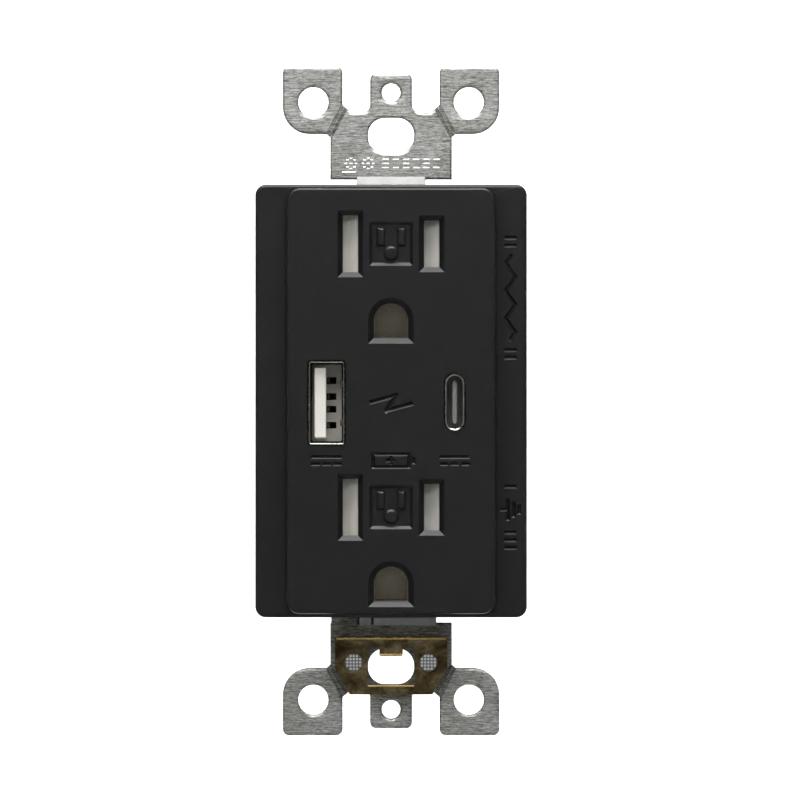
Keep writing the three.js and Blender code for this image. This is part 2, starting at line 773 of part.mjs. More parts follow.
// The taped winding round the middle limb, standing proud of the core at front and back.
function transformerWinding() {
  const [half, height] = [CORE.window - GAP, CORE.yoke - GAP];
  const [limb, front, back] = [CORE.limb + GAP, CORE.y[0] - GAP, CORE.y[1] + GAP];
  return cut(
    block([-half, half], [front - 1.6, PARTS_BACK], [-height, height]),
    block([-limb, limb], [front, back], [-height - CUT, height + CUT]),
  );
}

// A radial can, lying along Z, with its crimp groove.
function capacitor(radius, length) {
  return turned([
    [0, 0],
    [radius, 0],
    [radius, length * 0.12],
    [radius - 0.4, length * 0.16],
    [radius, length * 0.2],
    [radius, length],
    [0, length],
  ], 14);
}

function fuse() {
  return turned([
    [0, -4.6],
    [2.0, -4.6],
    [2.0, -2.8],
    [1.7, -2.8],
    [1.7, 2.8],
    [2.0, 2.8],
    [2.0, 4.6],
    [0, 4.6],
  ], 12);
}

// Four pins in a strip of plastic that join the two boards.
function boardLink() {
  const [y0, y1] = [OUTPUT_BOARD.y[1] + GAP, PARTS_BACK];
  let link = block([-LINK.half, LINK.half], [(y0 + y1) / 2 - 1, (y0 + y1) / 2 + 1], [-LINK.z, LINK.z]);
  for (let i = 0; i < 4; i += 1) {
    const z = -3.81 + 2.54 * i;
    link = join(link, block([-0.32, 0.32], [y0, y1], [z - 0.32, z + 0.32]));
  }
  return link;
}

// ---------- Screws and clamps ----------
// A binding-head screw along Z with its head up and a slot and a cross in the head.
function bindingScrew(head, headThick, below) {
  const { shank } = SCREW;
  return cut(
    turned([
      [0, -below],
      [shank - 0.5, -below],
      [shank, -below + 0.6],
      [shank, 0],
      [head, 0],
      [head, headThick * 0.6],
      [head - 0.6, headThick],
      [0, headThick],
    ]),
    block([-head - CUT, head + CUT], [-0.5, 0.5], [headThick - 1.0, headThick + CUT]),
    block([-0.5, 0.5], [-2.0, 2.0], [headThick - 1.3, headThick + CUT]),
  );
}

// A square saddle under the screw's head, with ribs that bite the wire.
function clampPlate(size) {
  const half = size / 2;
  const ribs = [-2.9, 2.9].flatMap((x) =>
    [-1.2, 1.2].map((dx) => block([x + dx - 0.2, x + dx + 0.2], [-half + 0.6, half - 0.6], [-0.2, 0.1])),
  );
  return cut(
    join(block([-half, half], [-half, half], [0, CLAMP.thick]), ...(size > 8 ? ribs : [])),
    rod("z", SCREW.shank + GAP, [-CUT, CLAMP.thick + CUT], [0, 0, 0], 14),
  );
}

function bodyScrew() {
  return cut(
    turned([
      [0, 0],
      [1.0, 0],
      [1.0, 14.2],
      [2.3, 14.2],
      [2.3, 15.2],
      [1.7, 16.0],
      [0, 16.0],
    ], 12),
    block([-1.4, 1.4], [-0.3, 0.3], [15.2, 16 + CUT]),
    block([-0.3, 0.3], [-1.4, 1.4], [15.2, 16 + CUT]),
  );
}

// ---------- Assembly ----------
const receptacle = new THREE.Group();

function add(name, solid, material, { parent = receptacle, at = [0, 0, 0], turn = [0, 0, 0] } = {}) {
  const { vertProperties, triVerts } = solid.getMesh();
  const geometry = new THREE.BufferGeometry();
  geometry.setAttribute("position", new THREE.BufferAttribute(new Float32Array(vertProperties), 3));
  geometry.setIndex(new THREE.BufferAttribute(new Uint32Array(triVerts), 1));
  geometry.computeVertexNormals();
  const mesh = new THREE.Mesh(geometry, material);
  mesh.name = name;
  mesh.position.set(...at);
  mesh.rotation.set(...turn);
  parent.add(mesh);
  return mesh;
}

function place(at) {
  const group = new THREE.Group();
  group.position.set(...at);
  receptacle.add(group);
  return group;
}

const QUARTER = Math.PI / 2;

// Housing.
add("front_cover", frontCover(), MATERIAL.face);
add("rear_body", rearBody(), MATERIAL.body);
add("mounting_strap", mountingStrap(), MATERIAL.steel);
add("grounding_clip", groundingClip(), MATERIAL.clip);
let screwNumber = 1;
for (const z of [POST.z, -POST.z]) {
  for (const x of [-POST.x, POST.x]) {
    add(`body_screw_${screwNumber}`, bodyScrew(), MATERIAL.steel, {
      at: [x, -0.4, z],
      turn: [-QUARTER, 0, 0],
    });
    screwNumber += 1;
  }
}

// Contacts.
add("contact_carrier", contactCarrier(), MATERIAL.insulator);
add("hot_bus", busBar(7.0), MATERIAL.brass);
add("neutral_bus", busBar(8.4).mirror([1, 0, 0]), MATERIAL.nickel);

// Two outlets.
for (const [which, z] of Object.entries(OUTLET_Z)) {
  const outlet = place([0, 0, z]);
  add(`shutter_carrier_${which}`, shutterCarrier(), MATERIAL.insulator, { parent: outlet });
  add(`shutter_${which}`, shutter(), MATERIAL.shutter, { parent: outlet });
  add(`shutter_spring_${which}`, shutterSpring(), MATERIAL.spring, {
    parent: outlet,
    at: [SPRING.start, SPRING.y, 0],
  });
  add(`ground_contact_${which}`, groundContact(), MATERIAL.brass, {
    parent: outlet,
    at: [0, 0, -GROUND_DROP],
  });
  add(`ground_rivet_${which}`, groundRivet(), MATERIAL.brass, {
    parent: outlet,
    at: [0, 0, RIVET.offset - GROUND_DROP],
    turn: [QUARTER, 0, 0],
  });
}

// Charger.
const portA = place([USB_A.x, 0, USB_A.z]);
add("usb_a_shell", usbShell(USB_A, 0.5, 2), MATERIAL.nickel, { parent: portA });
add("usb_a_insulator", usbAInsulator(), MATERIAL.insulator, { parent: portA });
PIN_Z.forEach((z, i) => {
  add(`usb_a_contact_${i + 1}`, usbAContact(), MATERIAL.brass, { parent: portA, at: [0, 0, z] });
});
const portC = place([USB_C.x, 0, USB_C.z]);
add("usb_c_shell", usbShell(USB_C, USB_C.width / 2 - 0.01, 5), MATERIAL.nickel, { parent: portC });
add("usb_c_tongue", usbCTongue(), MATERIAL.epoxy, { parent: portC });
add(
  "usb_board",
  block([-OUTPUT_BOARD.x, OUTPUT_BOARD.x], OUTPUT_BOARD.y, [-OUTPUT_BOARD.z, OUTPUT_BOARD.z]),
  MATERIAL.board,
);
add(
  "power_board",
  block([-POWER_BOARD.x, POWER_BOARD.x], POWER_BOARD.y, [-POWER_BOARD.z, POWER_BOARD.z]),
  MATERIAL.board,
);
add("board_link", boardLink(), MATERIAL.epoxy, { at: [LINK.x, 0, 0] });
add("transformer_core", transformerCore(), MATERIAL.ferrite, { at: [CORE.x, 0, 0] });
add("transformer_winding", transformerWinding(), MATERIAL.tape, { at: [CORE.x, 0, 0] });
add("input_capacitor_1", capacitor(4.3, 12.0), MATERIAL.capacitor, { at: [-6.2, 20.6, 9.5] });
add("input_capacitor_2", capacitor(4.3, 12.0), MATERIAL.capacitor, { at: [6.2, 20.6, 9.5] });
add("output_capacitor", capacitor(3.8, 11.0), MATERIAL.capacitor, { at: [-6.2, 21.1, -20.5] });
add("bridge_rectifier", block([3.4, 9.4], [21.5, PARTS_BACK], [-17.5, -9.0]), MATERIAL.epoxy);
add("fuse", fuse(), MATERIAL.glass, { at: [0, 22.6, 25.2], turn: [0, QUARTER, 0] });
for (const [name, side, material] of [
  ["hot_lead", 1, MATERIAL.lead],
  ["neutral_lead", -1, MATERIAL.insulator],
]) {
  const lead = rod("y", LEAD.radius, [SPINE.y[1] + GAP, PARTS_BACK], [side * LEAD.x, 0, LEAD.z], 8);
  add(name, lead, material);
}

// Side terminals. Each screw's head faces out, and its clamp sits between the head and the terminal plate.
for (const [bus, side, material] of [
  ["hot", 1, MATERIAL.brass],
  ["neutral", -1, MATERIAL.nickel],
]) {
  for (const [which, z] of Object.entries(TERMINAL_Z)) {
    const terminal = place([0, TERMINAL_Y, z]);
    terminal.rotation.set(0, side * QUARTER, 0);
    const clampAt = TERMINAL_PLATE.outer + 0.5;
    add(`clamp_plate_${bus}_${which}`, clampPlate(CLAMP.size), MATERIAL.nickel, {
      parent: terminal,
      at: [0, 0, clampAt],
    });
    add(`terminal_screw_${bus}_${which}`, bindingScrew(SCREW.head, SCREW.headThick, 4.6), material, {
      parent: terminal,
      at: [0, 0, clampAt + CLAMP.thick + GAP],
    });
  }
}

// Ground terminal, with its screw's head facing down.
const ground = place([GROUND_SCREW_AT.x, GROUND_SCREW_AT.y, 0]);
ground.rotation.set(Math.PI, 0, 0);
const groundClampAt = -GROUND_PLATE.z[0] + 0.4;
add("ground_clamp", clampPlate(7.2), MATERIAL.nickel, { parent: ground, at: [0, 0, groundClampAt] });
add("ground_screw", bindingScrew(3.5, 2.2, 4.4), MATERIAL.ground, {
  parent: ground,
  at: [0, 0, groundClampAt + CLAMP.thick + GAP],
});

export default receptacle;
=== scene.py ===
from math import cos, hypot, pi, radians, sin

import bmesh
import bpy
from mathutils import Matrix, Vector


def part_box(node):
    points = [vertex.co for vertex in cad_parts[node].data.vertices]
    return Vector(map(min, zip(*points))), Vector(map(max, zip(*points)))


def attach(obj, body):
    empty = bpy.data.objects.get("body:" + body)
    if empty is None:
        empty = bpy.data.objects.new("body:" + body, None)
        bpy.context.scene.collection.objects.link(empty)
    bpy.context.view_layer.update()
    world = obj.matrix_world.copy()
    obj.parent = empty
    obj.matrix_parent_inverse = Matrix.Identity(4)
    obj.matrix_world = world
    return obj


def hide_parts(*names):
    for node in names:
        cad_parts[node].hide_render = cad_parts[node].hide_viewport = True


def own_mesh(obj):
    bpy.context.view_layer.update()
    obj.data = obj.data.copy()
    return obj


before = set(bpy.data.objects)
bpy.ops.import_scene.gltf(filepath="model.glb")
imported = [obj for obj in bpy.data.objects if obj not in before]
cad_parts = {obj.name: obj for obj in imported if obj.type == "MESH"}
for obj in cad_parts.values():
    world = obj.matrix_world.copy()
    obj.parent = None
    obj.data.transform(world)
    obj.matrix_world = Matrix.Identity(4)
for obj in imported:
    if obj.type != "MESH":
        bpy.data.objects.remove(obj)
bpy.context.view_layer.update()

# Shapes are worked out in millimetres and scaled to metres when a piece is finished.
MM = 0.001


def box(node):
    """The node's low and high corners in millimetres."""
    low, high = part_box(node)
    return low / MM, high / MM


def centre_of(node):
    low, high = box(node)
    return (low + high) / 2


# ---------- Places and sizes, from the frame ----------
cover_low, cover_high = box("front_cover")
body_low, body_high = box("rear_body")
clip_low, clip_high = box("grounding_clip")
port_a_low, port_a_high = box("usb_a_shell")
port_c_low, port_c_high = box("usb_c_shell")
strap_back = box("mounting_strap")[1].y

# The cover. Y runs from the front to the back, so the face has the lowest.
FACE_Y = cover_low.y
FLANGE_Y = -3.9
FLANGE_BACK = -0.2
FLANGE = (cover_high.x - cover_low.x, cover_high.z - cover_low.z)
FACE = (32.8, 66.6)
# Cutters that go through the cover end here, behind it.
THROUGH = 0.5

# The outlets: the height of each, and where its slots and its ground hole are.
OUTLETS = {"upper": 24.6, "lower": -16.6}
BLADE_X = 6.35
GROUND_DROP = 12.0
PLAQUE, PLAQUE_DEPTH = 5.9, 0.5
# Half the width of a shutter's pad, and how far the shutter slides.
SHUTTER_PAD, SHUTTER_TRAVEL = 1.3, 3.0

# The marks in the cover.
MARK_ROW = -9.3
FLANGE_MARK_X = 18.7

# The strap, with its front face at -STEEL, and the grounding clip's rivets on it.
STEEL = 1.3
STRAP_STEP = 1.2
MOUNT_Z = 41.65
TAB_HOLE_Z = 48.4
EAR_HOLE_X, EAR_HOLE_Z = 12.2, 46.9
EAR_OUTER, EAR_INNER, EAR_END, EAR_FOOT, EAR_CORNER = 17.0, 7.6, 52.5, 41.9, 4.2
STAMPED_ROW = 37.2
STAKE_X, STAKE_Z = 5.85, -41.0

# The rear body, its terminals and its screws.
REAR = (31.0, 64.4)
SHOULDER = 16.0
TERMINALS = {"upper": 18.0, "lower": -12.0}
BODY_SCREW_X, BODY_SCREW_Z = 17.6, 30.2
CLAMP_THICK = 1.0

# The ports.
PORT_A = centre_of("usb_a_shell")
PORT_A_SIZE = port_a_high - port_a_low
PORT_C = centre_of("usb_c_shell")
PORT_C_SIZE = port_c_high - port_c_low


# ---------- Outlines, as lists of (x, z) running anticlockwise ----------
def arc(x, z, radius, start, end, steps):
    angles = [radians(start + (end - start) * i / steps) for i in range(steps + 1)]
    return [(x + radius * cos(a), z + radius * sin(a)) for a in angles]


def rectangle(width, height, x=0, z=0):
    w, h = width / 2, height / 2
    return [(x - w, z - h), (x + w, z - h), (x + w, z + h), (x - w, z + h)]


def rounded(width, height, radius, x=0, z=0, steps=8):
    w, h = width / 2 - radius, height / 2 - radius
    corners = ((w, -h, -90), (w, h, 0), (-w, h, 90), (-w, -h, 180))
    return [p for cx, cz, a in corners for p in arc(x + cx, z + cz, radius, a, a + 90, steps)]


def circle(radius, x=0, z=0, steps=48):
    return arc(x, z, radius, 0, 360, steps)[:-1]


def mirrored(half):
    """A closed outline from its right-hand half, given from the bottom."""
    return half + [(-x, z) for x, z in reversed(half)]


def ground_hole(half, drop, z):
    return [(-half, z - drop), (half, z - drop)] + arc(0, z, half, 0, 180, 28)


# ---------- Solids ----------
def rotation(degrees, axis):
    return Matrix.Rotation(radians(degrees), 4, axis)


def linked(name, data):
    """A new object with that data, in the scene."""
    made = bpy.data.objects.new(name, data)
    bpy.context.scene.collection.objects.link(made)
    return made


def object_of(bm, name="solid"):
    bmesh.ops.recalc_face_normals(bm, faces=bm.faces)
    mesh = bpy.data.meshes.new(name)
    bm.to_mesh(mesh)
    bm.free()
    return linked(name, mesh)


def bridge(bm, a, b):
    """The faces between two rings of vertices."""
    for i in range(len(a)):
        j = (i + 1) % len(a)
        bm.faces.new((a[i], a[j], b[j], b[i]))


def loft(rings, closed=False):
    """A solid through rings of points. A closed one joins its last ring to its first."""
    bm = bmesh.new()
    loops = [[bm.verts.new(p) for p in ring] for ring in rings]
    pairs = list(zip(loops, loops[1:]))
    if closed:
        pairs.append((loops[-1], loops[0]))
    else:
        bm.faces.new(loops[0])
        bm.faces.new(loops[-1])
    for a, b in pairs:
        bridge(bm, a, b)
    return object_of(bm)


def prism(*sections, closed=False):
    """A solid through outlines in (x, z), each given with its y."""
    return loft([[(x, y, z) for x, z in outline] for outline, y in sections], closed)


def stack(*sections):
    """A solid through outlines in (x, y), each given with its z."""
    return loft([[(x, y, z) for x, y in outline] for outline, z in sections])


def block(x, y, z):
    centre = ((x[0] + x[1]) / 2, (z[0] + z[1]) / 2)
    return prism(*[(rectangle(x[1] - x[0], z[1] - z[0], *centre), depth) for depth in y])


def rounding(radius):
    """Pairs of (inset, depth) that round a rim from its face to its side."""
    steps = 4
    angles = [pi / 2 * i / steps for i in range(steps + 1)]
    return [(radius * (1 - sin(a)), radius * (1 - cos(a))) for a in angles]


def slab(width, height, radius, front, back, front_soft, back_soft, draft=0.0, x=0, z=0):
    """A rounded slab with both rims rounded, wider at its back by the draft."""
    sections = []
    for inset, depth in rounding(front_soft):
        w, h = width - 2 * inset, height - 2 * inset
        sections.append((rounded(w, h, radius - inset, x, z), front + depth))
    for inset, depth in reversed(rounding(back_soft)):
        w, h = width + 2 * (draft - inset), height + 2 * (draft - inset)
        sections.append((rounded(w, h, radius + 0.6 * draft, x, z), back - depth))
    return prism(*sections)


def draw(curve, points):
    """Adds a line through the points to a curve."""
    spline = curve.splines.new("POLY")
    spline.points.add(len(points) - 1)
    for point, place in zip(spline.points, points):
        point.co = (*place, 1)
    return spline


def mesh_of(curve):
    """The mesh of a curve with its thickness."""
    drawn = linked("drawn", curve)
    mesh = bpy.data.meshes.new_from_object(drawn)
    bpy.data.objects.remove(drawn)
    return mesh


def sheet_metal(outlines, front, back, rim):
    """A stamped plate with holes, with every rim rounded. The first outline is the outside."""
    curve = bpy.data.curves.new("plate", "CURVE")
    curve.dimensions = "2D"
    curve.fill_mode = "BOTH"
    curve.extrude = (back - front) / 2 - rim
    curve.bevel_depth = rim
    curve.bevel_resolution = 2
    curve.offset = -rim
    for outline in outlines:
        draw(curve, [(x, z, 0) for x, z in outline]).use_cyclic_u = True
    mesh = mesh_of(curve)
    bm = bmesh.new()
    bm.from_mesh(mesh)
    bpy.data.meshes.remove(mesh)
    bmesh.ops.transform(bm, matrix=rotation(90, "X"), verts=bm.verts)
    bmesh.ops.translate(bm, vec=(0, (front + back) / 2, 0), verts=bm.verts)
    bmesh.ops.remove_doubles(bm, verts=bm.verts, dist=1e-4)
    return object_of(bm)


def turned(profile, steps=48):
    """A solid of revolution about Z from (radius, z) points that start and end on the axis."""
    bm = bmesh.new()
    foot, tip = bm.verts.new((0, 0, profile[0][1])), bm.verts.new((0, 0, profile[-1][1]))
    rings = [[bm.verts.new((x, y, z)) for x, y in circle(r, steps=steps)] for r, z in profile[1:-1]]
    for i in range(steps):
        j = (i + 1) % steps
        bm.faces.new((foot, rings[0][j], rings[0][i]))
        bm.faces.new((tip, rings[-1][i], rings[-1][j]))
        for a, b in zip(rings, rings[1:]):
            bm.faces.new((a[i], a[j], b[j], b[i]))
    return object_of(bm)


def swept(points, radius):
    """A round wire along a list of points."""
    curve = bpy.data.curves.new("wire", "CURVE")
    curve.dimensions = "3D"
    curve.bevel_depth = radius
    curve.bevel_resolution = 4
    curve.use_fill_caps = True
    draw(curve, points)
    return linked("solid", mesh_of(curve))


def moved(solid, matrix):
    solid.data.transform(matrix)
    if matrix.is_negative:
        solid.data.flip_normals()
    return solid


def rod(axis, radius, span, at=(0, 0, 0), end_radius=None, steps=40):
    """A straight or tapered round bar along X, Y or Z."""
    tip = radius if end_radius is None else end_radius
    bar = turned([(0, span[0]), (radius, span[0]), (tip, span[1]), (0, span[1])], steps)
    turn = {"x": rotation(90, "Y"), "y": rotation(-90, "X")}
    return moved(bar, Matrix.Translation(at) @ turn.get(axis, Matrix.Identity(4)))


def baked(solid):
    graph = bpy.context.evaluated_depsgraph_get()
    mesh = bpy.data.meshes.new_from_object(solid.evaluated_get(graph))
    solid.modifiers.clear()
    old, solid.data = solid.data, mesh
    bpy.data.meshes.remove(old)
    return solid


def together(solids):
    """Several solids that don't touch, as one object."""
    bm = bmesh.new()
    for solid in solids:
        bm.from_mesh(solid.data)
        bpy.data.objects.remove(solid)
    return object_of(bm)


def combined(operation, solid, tools, crossing=False):
    """Adds or takes away each tool. A tool whose own parts cross each other is marked as crossing."""
    for tool in tools:
        step = solid.modifiers.new("boolean", "BOOLEAN")
        step.operation = operation
        step.solver = "EXACT"
        step.use_self = crossing
        step.object = tool
        baked(solid)
        bpy.data.objects.remove(tool)
    return solid


def joined(solid, *tools):
    return combined("UNION", solid, tools)


def cut(solid, *tools):
    return combined("DIFFERENCE", solid, tools)


def cut_all(solid, tools):
    """Takes away many tools at once, which may cross each other."""
    return combined("DIFFERENCE", solid, [together(tools)], crossing=True)


def bevel(solid, width, segments, angle):
    """Puts a modifier on a solid that rounds its edges sharper than the angle."""
    step = solid.modifiers.new("bevel", "BEVEL")
    step.width = width
    step.segments = segments
    step.limit_method = "ANGLE"
    step.angle_limit = radians(angle)


def soften(solid, width, segments=3):
    """Rounds the sharp edges of a solid."""
    bevel(solid, width, segments, 34)
    return baked(solid)


def smooth(mesh):
    mesh.shade_smooth()
    mesh.set_sharp_from_angle(angle=radians(38))


def paint(solid, material):
    solid.data.materials.clear()
    solid.data.materials.append(material)


def piece(name, solid, material, nodes=(), body="housing"):
    """Finishes a solid: metres, smooth shading, material, and its place in the model."""
    solid.name = name
    solid.data.name = name
    solid.data.transform(Matrix.Scale(MM, 4))
    smooth(solid.data)
    weigh = solid.modifiers.new("weighted_normals", "WEIGHTED_NORMAL")
    weigh.keep_sharp = True
    paint(solid, material)
    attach(solid, body)
    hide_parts(*nodes)
    return solid


# ---------- Materials ----------
class Surface:
    """Lays out the nodes of one procedural material. Coordinates are in millimetres."""

    def __init__(self, name, metallic=0.0, roughness=0.5):
        self.material = bpy.data.materials.new(name)
        self.material.use_nodes = True
        self.tree = self.material.node_tree
        self.shader = self.tree.nodes["Principled BSDF"]
        self.shader.inputs["Metallic"].default_value = metallic
        self.shader.inputs["Roughness"].default_value = roughness
        self.place = self.tree.nodes.new("ShaderNodeTexCoord").outputs["Object"]

    def link(self, source, target):
        self.tree.links.new(source, target)

    def node(self, kind, **values):
        """A new shader node, with the value of each named input."""
        made = self.tree.nodes.new(f"ShaderNode{kind}")
        for name, value in values.items():
            made.inputs[name].default_value = value
        return made

    def stretched(self, x, y, z):
        """Object coordinates multiplied along each axis, per millimetre."""
        mapping = self.node("Mapping", Scale=(x / MM, y / MM, z / MM))
        self.link(self.place, mapping.inputs["Vector"])
        return mapping.outputs["Vector"]

    def noise(self, x, y, z, detail=4.0, roughness=0.6, distortion=0.0):
        node = self.node("TexNoise", Scale=1.0, Detail=detail, Roughness=roughness, Distortion=distortion)
        self.link(self.stretched(x, y, z), node.inputs["Vector"])
        return node.outputs["Fac"]

    def patch(self, centre, reach):
        """1 at a point (x, y, z) in millimetres, falling to 0 at the reach along each axis."""
        scale, shift = [1 / (r * MM) for r in reach], [-c / r for c, r in zip(centre, reach)]
        mapping = self.node("Mapping", Scale=scale, Location=shift)
        self.link(self.place, mapping.inputs["Vector"])
        gradient = self.node("TexGradient")
        gradient.gradient_type = "SPHERICAL"
        self.link(mapping.outputs["Vector"], gradient.inputs["Vector"])
        return gradient.outputs["Fac"]

    def cells(self, x, y, z):
        node = self.node("TexVoronoi", Scale=1.0)
        self.link(self.stretched(x, y, z), node.inputs["Vector"])
        return node.outputs["Distance"]

    def ramp(self, source, *stops):
        """Maps a value through (position, colour or grey) stops."""
        node = self.node("ValToRGB")
        elements = node.color_ramp.elements
        while len(elements) < len(stops):
            elements.new(0.5)
        for element, (position, value) in zip(elements, stops):
            element.position = position
            colour = value if isinstance(value, tuple) else (value, value, value)
            element.color = (*colour, 1)
        self.link(source, node.inputs["Fac"])
        return node.outputs["Color"]

    def mix(self, kind, factor, a, b):
        """Mixes two colours. The factor is a number or an output."""
        node = self.node("Mix")
        node.data_type = "RGBA"
        node.blend_type = kind
        if isinstance(factor, float):
            node.inputs[0].default_value = factor
        else:
            self.link(factor, node.inputs[0])
        self.link(a, node.inputs[6])
        self.link(b, node.inputs[7])
        return node.outputs[2]

    def colour(self, source):
        self.link(source, self.shader.inputs["Base Color"])

    def roughness(self, source):
        self.link(source, self.shader.inputs["Roughness"])

    def bump(self, source, height, after=None):
        """Raises the surface by up to a height in millimetres."""
        node = self.node("Bump", Distance=height * MM, Strength=1.0)
        self.link(source, node.inputs["Height"])
        if after is not None:
            self.link(after, node.inputs["Normal"])
        self.link(node.outputs["Normal"], self.shader.inputs["Normal"])
        return node.outputs["Normal"]


def moulded_plastic(name, dark, light, rough, grain=0.012, gloss=0.5):
    """Moulded plastic with a fine grain, faint mottling and a few dull rub marks."""
    s = Surface(name)
    s.shader.inputs["Specular IOR Level"].default_value = gloss
    mottle = s.noise(0.12, 0.12, 0.12, detail=6, roughness=0.65)
    s.colour(s.ramp(mottle, (0.3, dark), (0.75, light)))
    rub = s.noise(0.5, 0.5, 0.9, detail=8, roughness=0.7)
    s.roughness(s.ramp(rub, (0.3, rough[0]), (0.8, rough[1])))
    s.bump(s.noise(7, 7, 7, detail=3, roughness=0.5), grain)
    return s.material


def zinc_steel():
    """Zinc-plated strip, with long streaks along X from rolling, short dashes, specks and dull stains.

    It's darkened round the grounding clip, at the lower slot: painted shade where the cover and the clip
    shade the strap.
    """
    s = Surface("zinc_steel", metallic=1.0)
    streak = s.noise(0.2, 1.5, 3.8, detail=9, roughness=0.78)
    dash = s.noise(0.75, 1.6, 5.6, detail=5, roughness=0.7)
    speck = s.noise(2.2, 2.2, 4.0, detail=4, roughness=0.7)
    stain = s.noise(0.16, 0.16, 0.22, detail=6, roughness=0.65)
    dark, middle, bright = (0.4, 0.41, 0.39), (0.74, 0.75, 0.72), (0.98, 0.98, 0.96)
    base = s.ramp(streak, (0.38, dark), (0.5, middle), (0.6, bright))
    fine = s.ramp(dash, (0.42, 0.4), (0.5, 0.85), (0.57, 1.0))
    spots = s.ramp(speck, (0.4, 0.6), (0.55, 1.0))
    dull = s.ramp(stain, (0.35, (0.8, 0.78, 0.72)), (0.58, (1.0, 1.0, 1.0)))
    worn = s.mix("MULTIPLY", 0.7, s.mix("MULTIPLY", 0.9, base, fine), spots)
    # Painted shade: the strap's colour darkens towards the grounding clip, below the cover, where the cover
    # and the clip shade it.
    shade_patch = s.patch((0, 0, -38), (14, 30, 13))
    painted_shade = s.ramp(shade_patch, (0.0, (1.0, 1.0, 1.0)), (0.45, (0.34, 0.33, 0.29)))
    s.colour(s.mix("MULTIPLY", 1.0, s.mix("MULTIPLY", 0.7, worn, dull), painted_shade))
    s.roughness(s.ramp(dash, (0.35, 0.58), (0.65, 0.4)))
    s.bump(dash, 0.01, after=s.bump(streak, 0.014))
    return s.material


def thin_brass():
    """Brown, tarnished brass sheet with faint rolling lines and stains."""
    s = Surface("thin_brass", metallic=1.0)
    line = s.noise(0.3, 1.5, 4.5, detail=7, roughness=0.7)
    stain = s.noise(0.3, 0.3, 0.4, detail=7, roughness=0.65, distortion=0.5)
    dark, middle, bright = (0.05, 0.036, 0.018), (0.17, 0.125, 0.06), (0.4, 0.32, 0.18)
    base = s.ramp(stain, (0.34, dark), (0.5, middle), (0.68, bright))
    s.colour(s.mix("MULTIPLY", 0.6, base, s.ramp(line, (0.35, 0.5), (0.65, 1.0))))
    s.roughness(s.ramp(stain, (0.3, 0.42), (0.75, 0.28)))
    s.bump(line, 0.01)
    return s.material


def plated_metal(name, dark, light, rough=(0.2, 0.34), wear=0.004):
    """A plated or solid metal with fine handling marks and slight, cloudy tarnishing."""
    s = Surface(name, metallic=1.0)
    cloud = s.noise(0.5, 0.5, 0.5, detail=6, roughness=0.65)
    scratch = s.noise(1.2, 6.0, 6.0, detail=5, roughness=0.7, distortion=0.3)
    s.colour(s.ramp(cloud, (0.3, dark), (0.72, light)))
    s.roughness(s.ramp(scratch, (0.3, rough[0]), (0.7, rough[1])))
    s.bump(scratch, wear)
    return s.material


def circuit_board():
    """Green solder mask over faint copper tracks and a glass weave."""
    s = Surface("circuit_board", roughness=0.4)
    track = s.cells(0.35, 0.35, 0.35)
    weave = s.noise(3.0, 3.0, 0.6, detail=3)
    base = s.ramp(track, (0.42, (0.012, 0.09, 0.035)), (0.46, (0.02, 0.15, 0.055)))
    s.colour(s.mix("MULTIPLY", 0.4, base, s.ramp(weave, (0.4, 0.75), (0.6, 1.0))))
    s.bump(track, 0.03)
    return s.material


def clear_glass():
    s = Surface("fuse_glass", roughness=0.06)
    tint = s.noise(0.8, 0.8, 0.8, detail=3)
    s.colour(s.ramp(tint, (0.3, (0.8, 0.86, 0.86)), (0.7, (0.92, 0.95, 0.95))))
    s.shader.inputs["Transmission Weight"].default_value = 0.85
    return s.material


BLACK = moulded_plastic(
    "black_face", (0.0032, 0.0032, 0.0033), (0.0045, 0.0045, 0.0046), (0.35, 0.42), gloss=0.52
)
DARK = moulded_plastic("black_body", (0.012, 0.012, 0.0125), (0.019, 0.019, 0.0195), (0.5, 0.66), 0.02)
CREAM = moulded_plastic("cream_nylon", (0.62, 0.6, 0.54), (0.76, 0.74, 0.68), (0.4, 0.55), 0.008)
WHITE = moulded_plastic("white_insulator", (0.82, 0.8, 0.74), (0.9, 0.88, 0.83), (0.35, 0.5), 0.006)
GREY = moulded_plastic("grey_tongue", (0.16, 0.16, 0.155), (0.26, 0.26, 0.25), (0.15, 0.3), 0.004)
EPOXY = moulded_plastic("black_epoxy", (0.01, 0.01, 0.01), (0.02, 0.02, 0.02), (0.35, 0.5), 0.01)
FERRITE = moulded_plastic("ferrite", (0.03, 0.03, 0.032), (0.055, 0.055, 0.058), (0.6, 0.8), 0.04)
TAPE = moulded_plastic("yellow_tape", (0.62, 0.38, 0.03), (0.74, 0.48, 0.06), (0.25, 0.4), 0.01)
SLEEVE = moulded_plastic("capacitor_sleeve", (0.012, 0.02, 0.06), (0.02, 0.035, 0.09), (0.2, 0.32), 0.006)
RED = moulded_plastic("red_insulation", (0.25, 0.015, 0.012), (0.34, 0.03, 0.02), (0.4, 0.5), 0.008)
ZINC = zinc_steel()
CLIP_BRASS = thin_brass()
BRIGHT_STEEL = plated_metal("bright_steel", (0.92, 0.92, 0.9), (1.0, 1.0, 0.98), (0.42, 0.55))
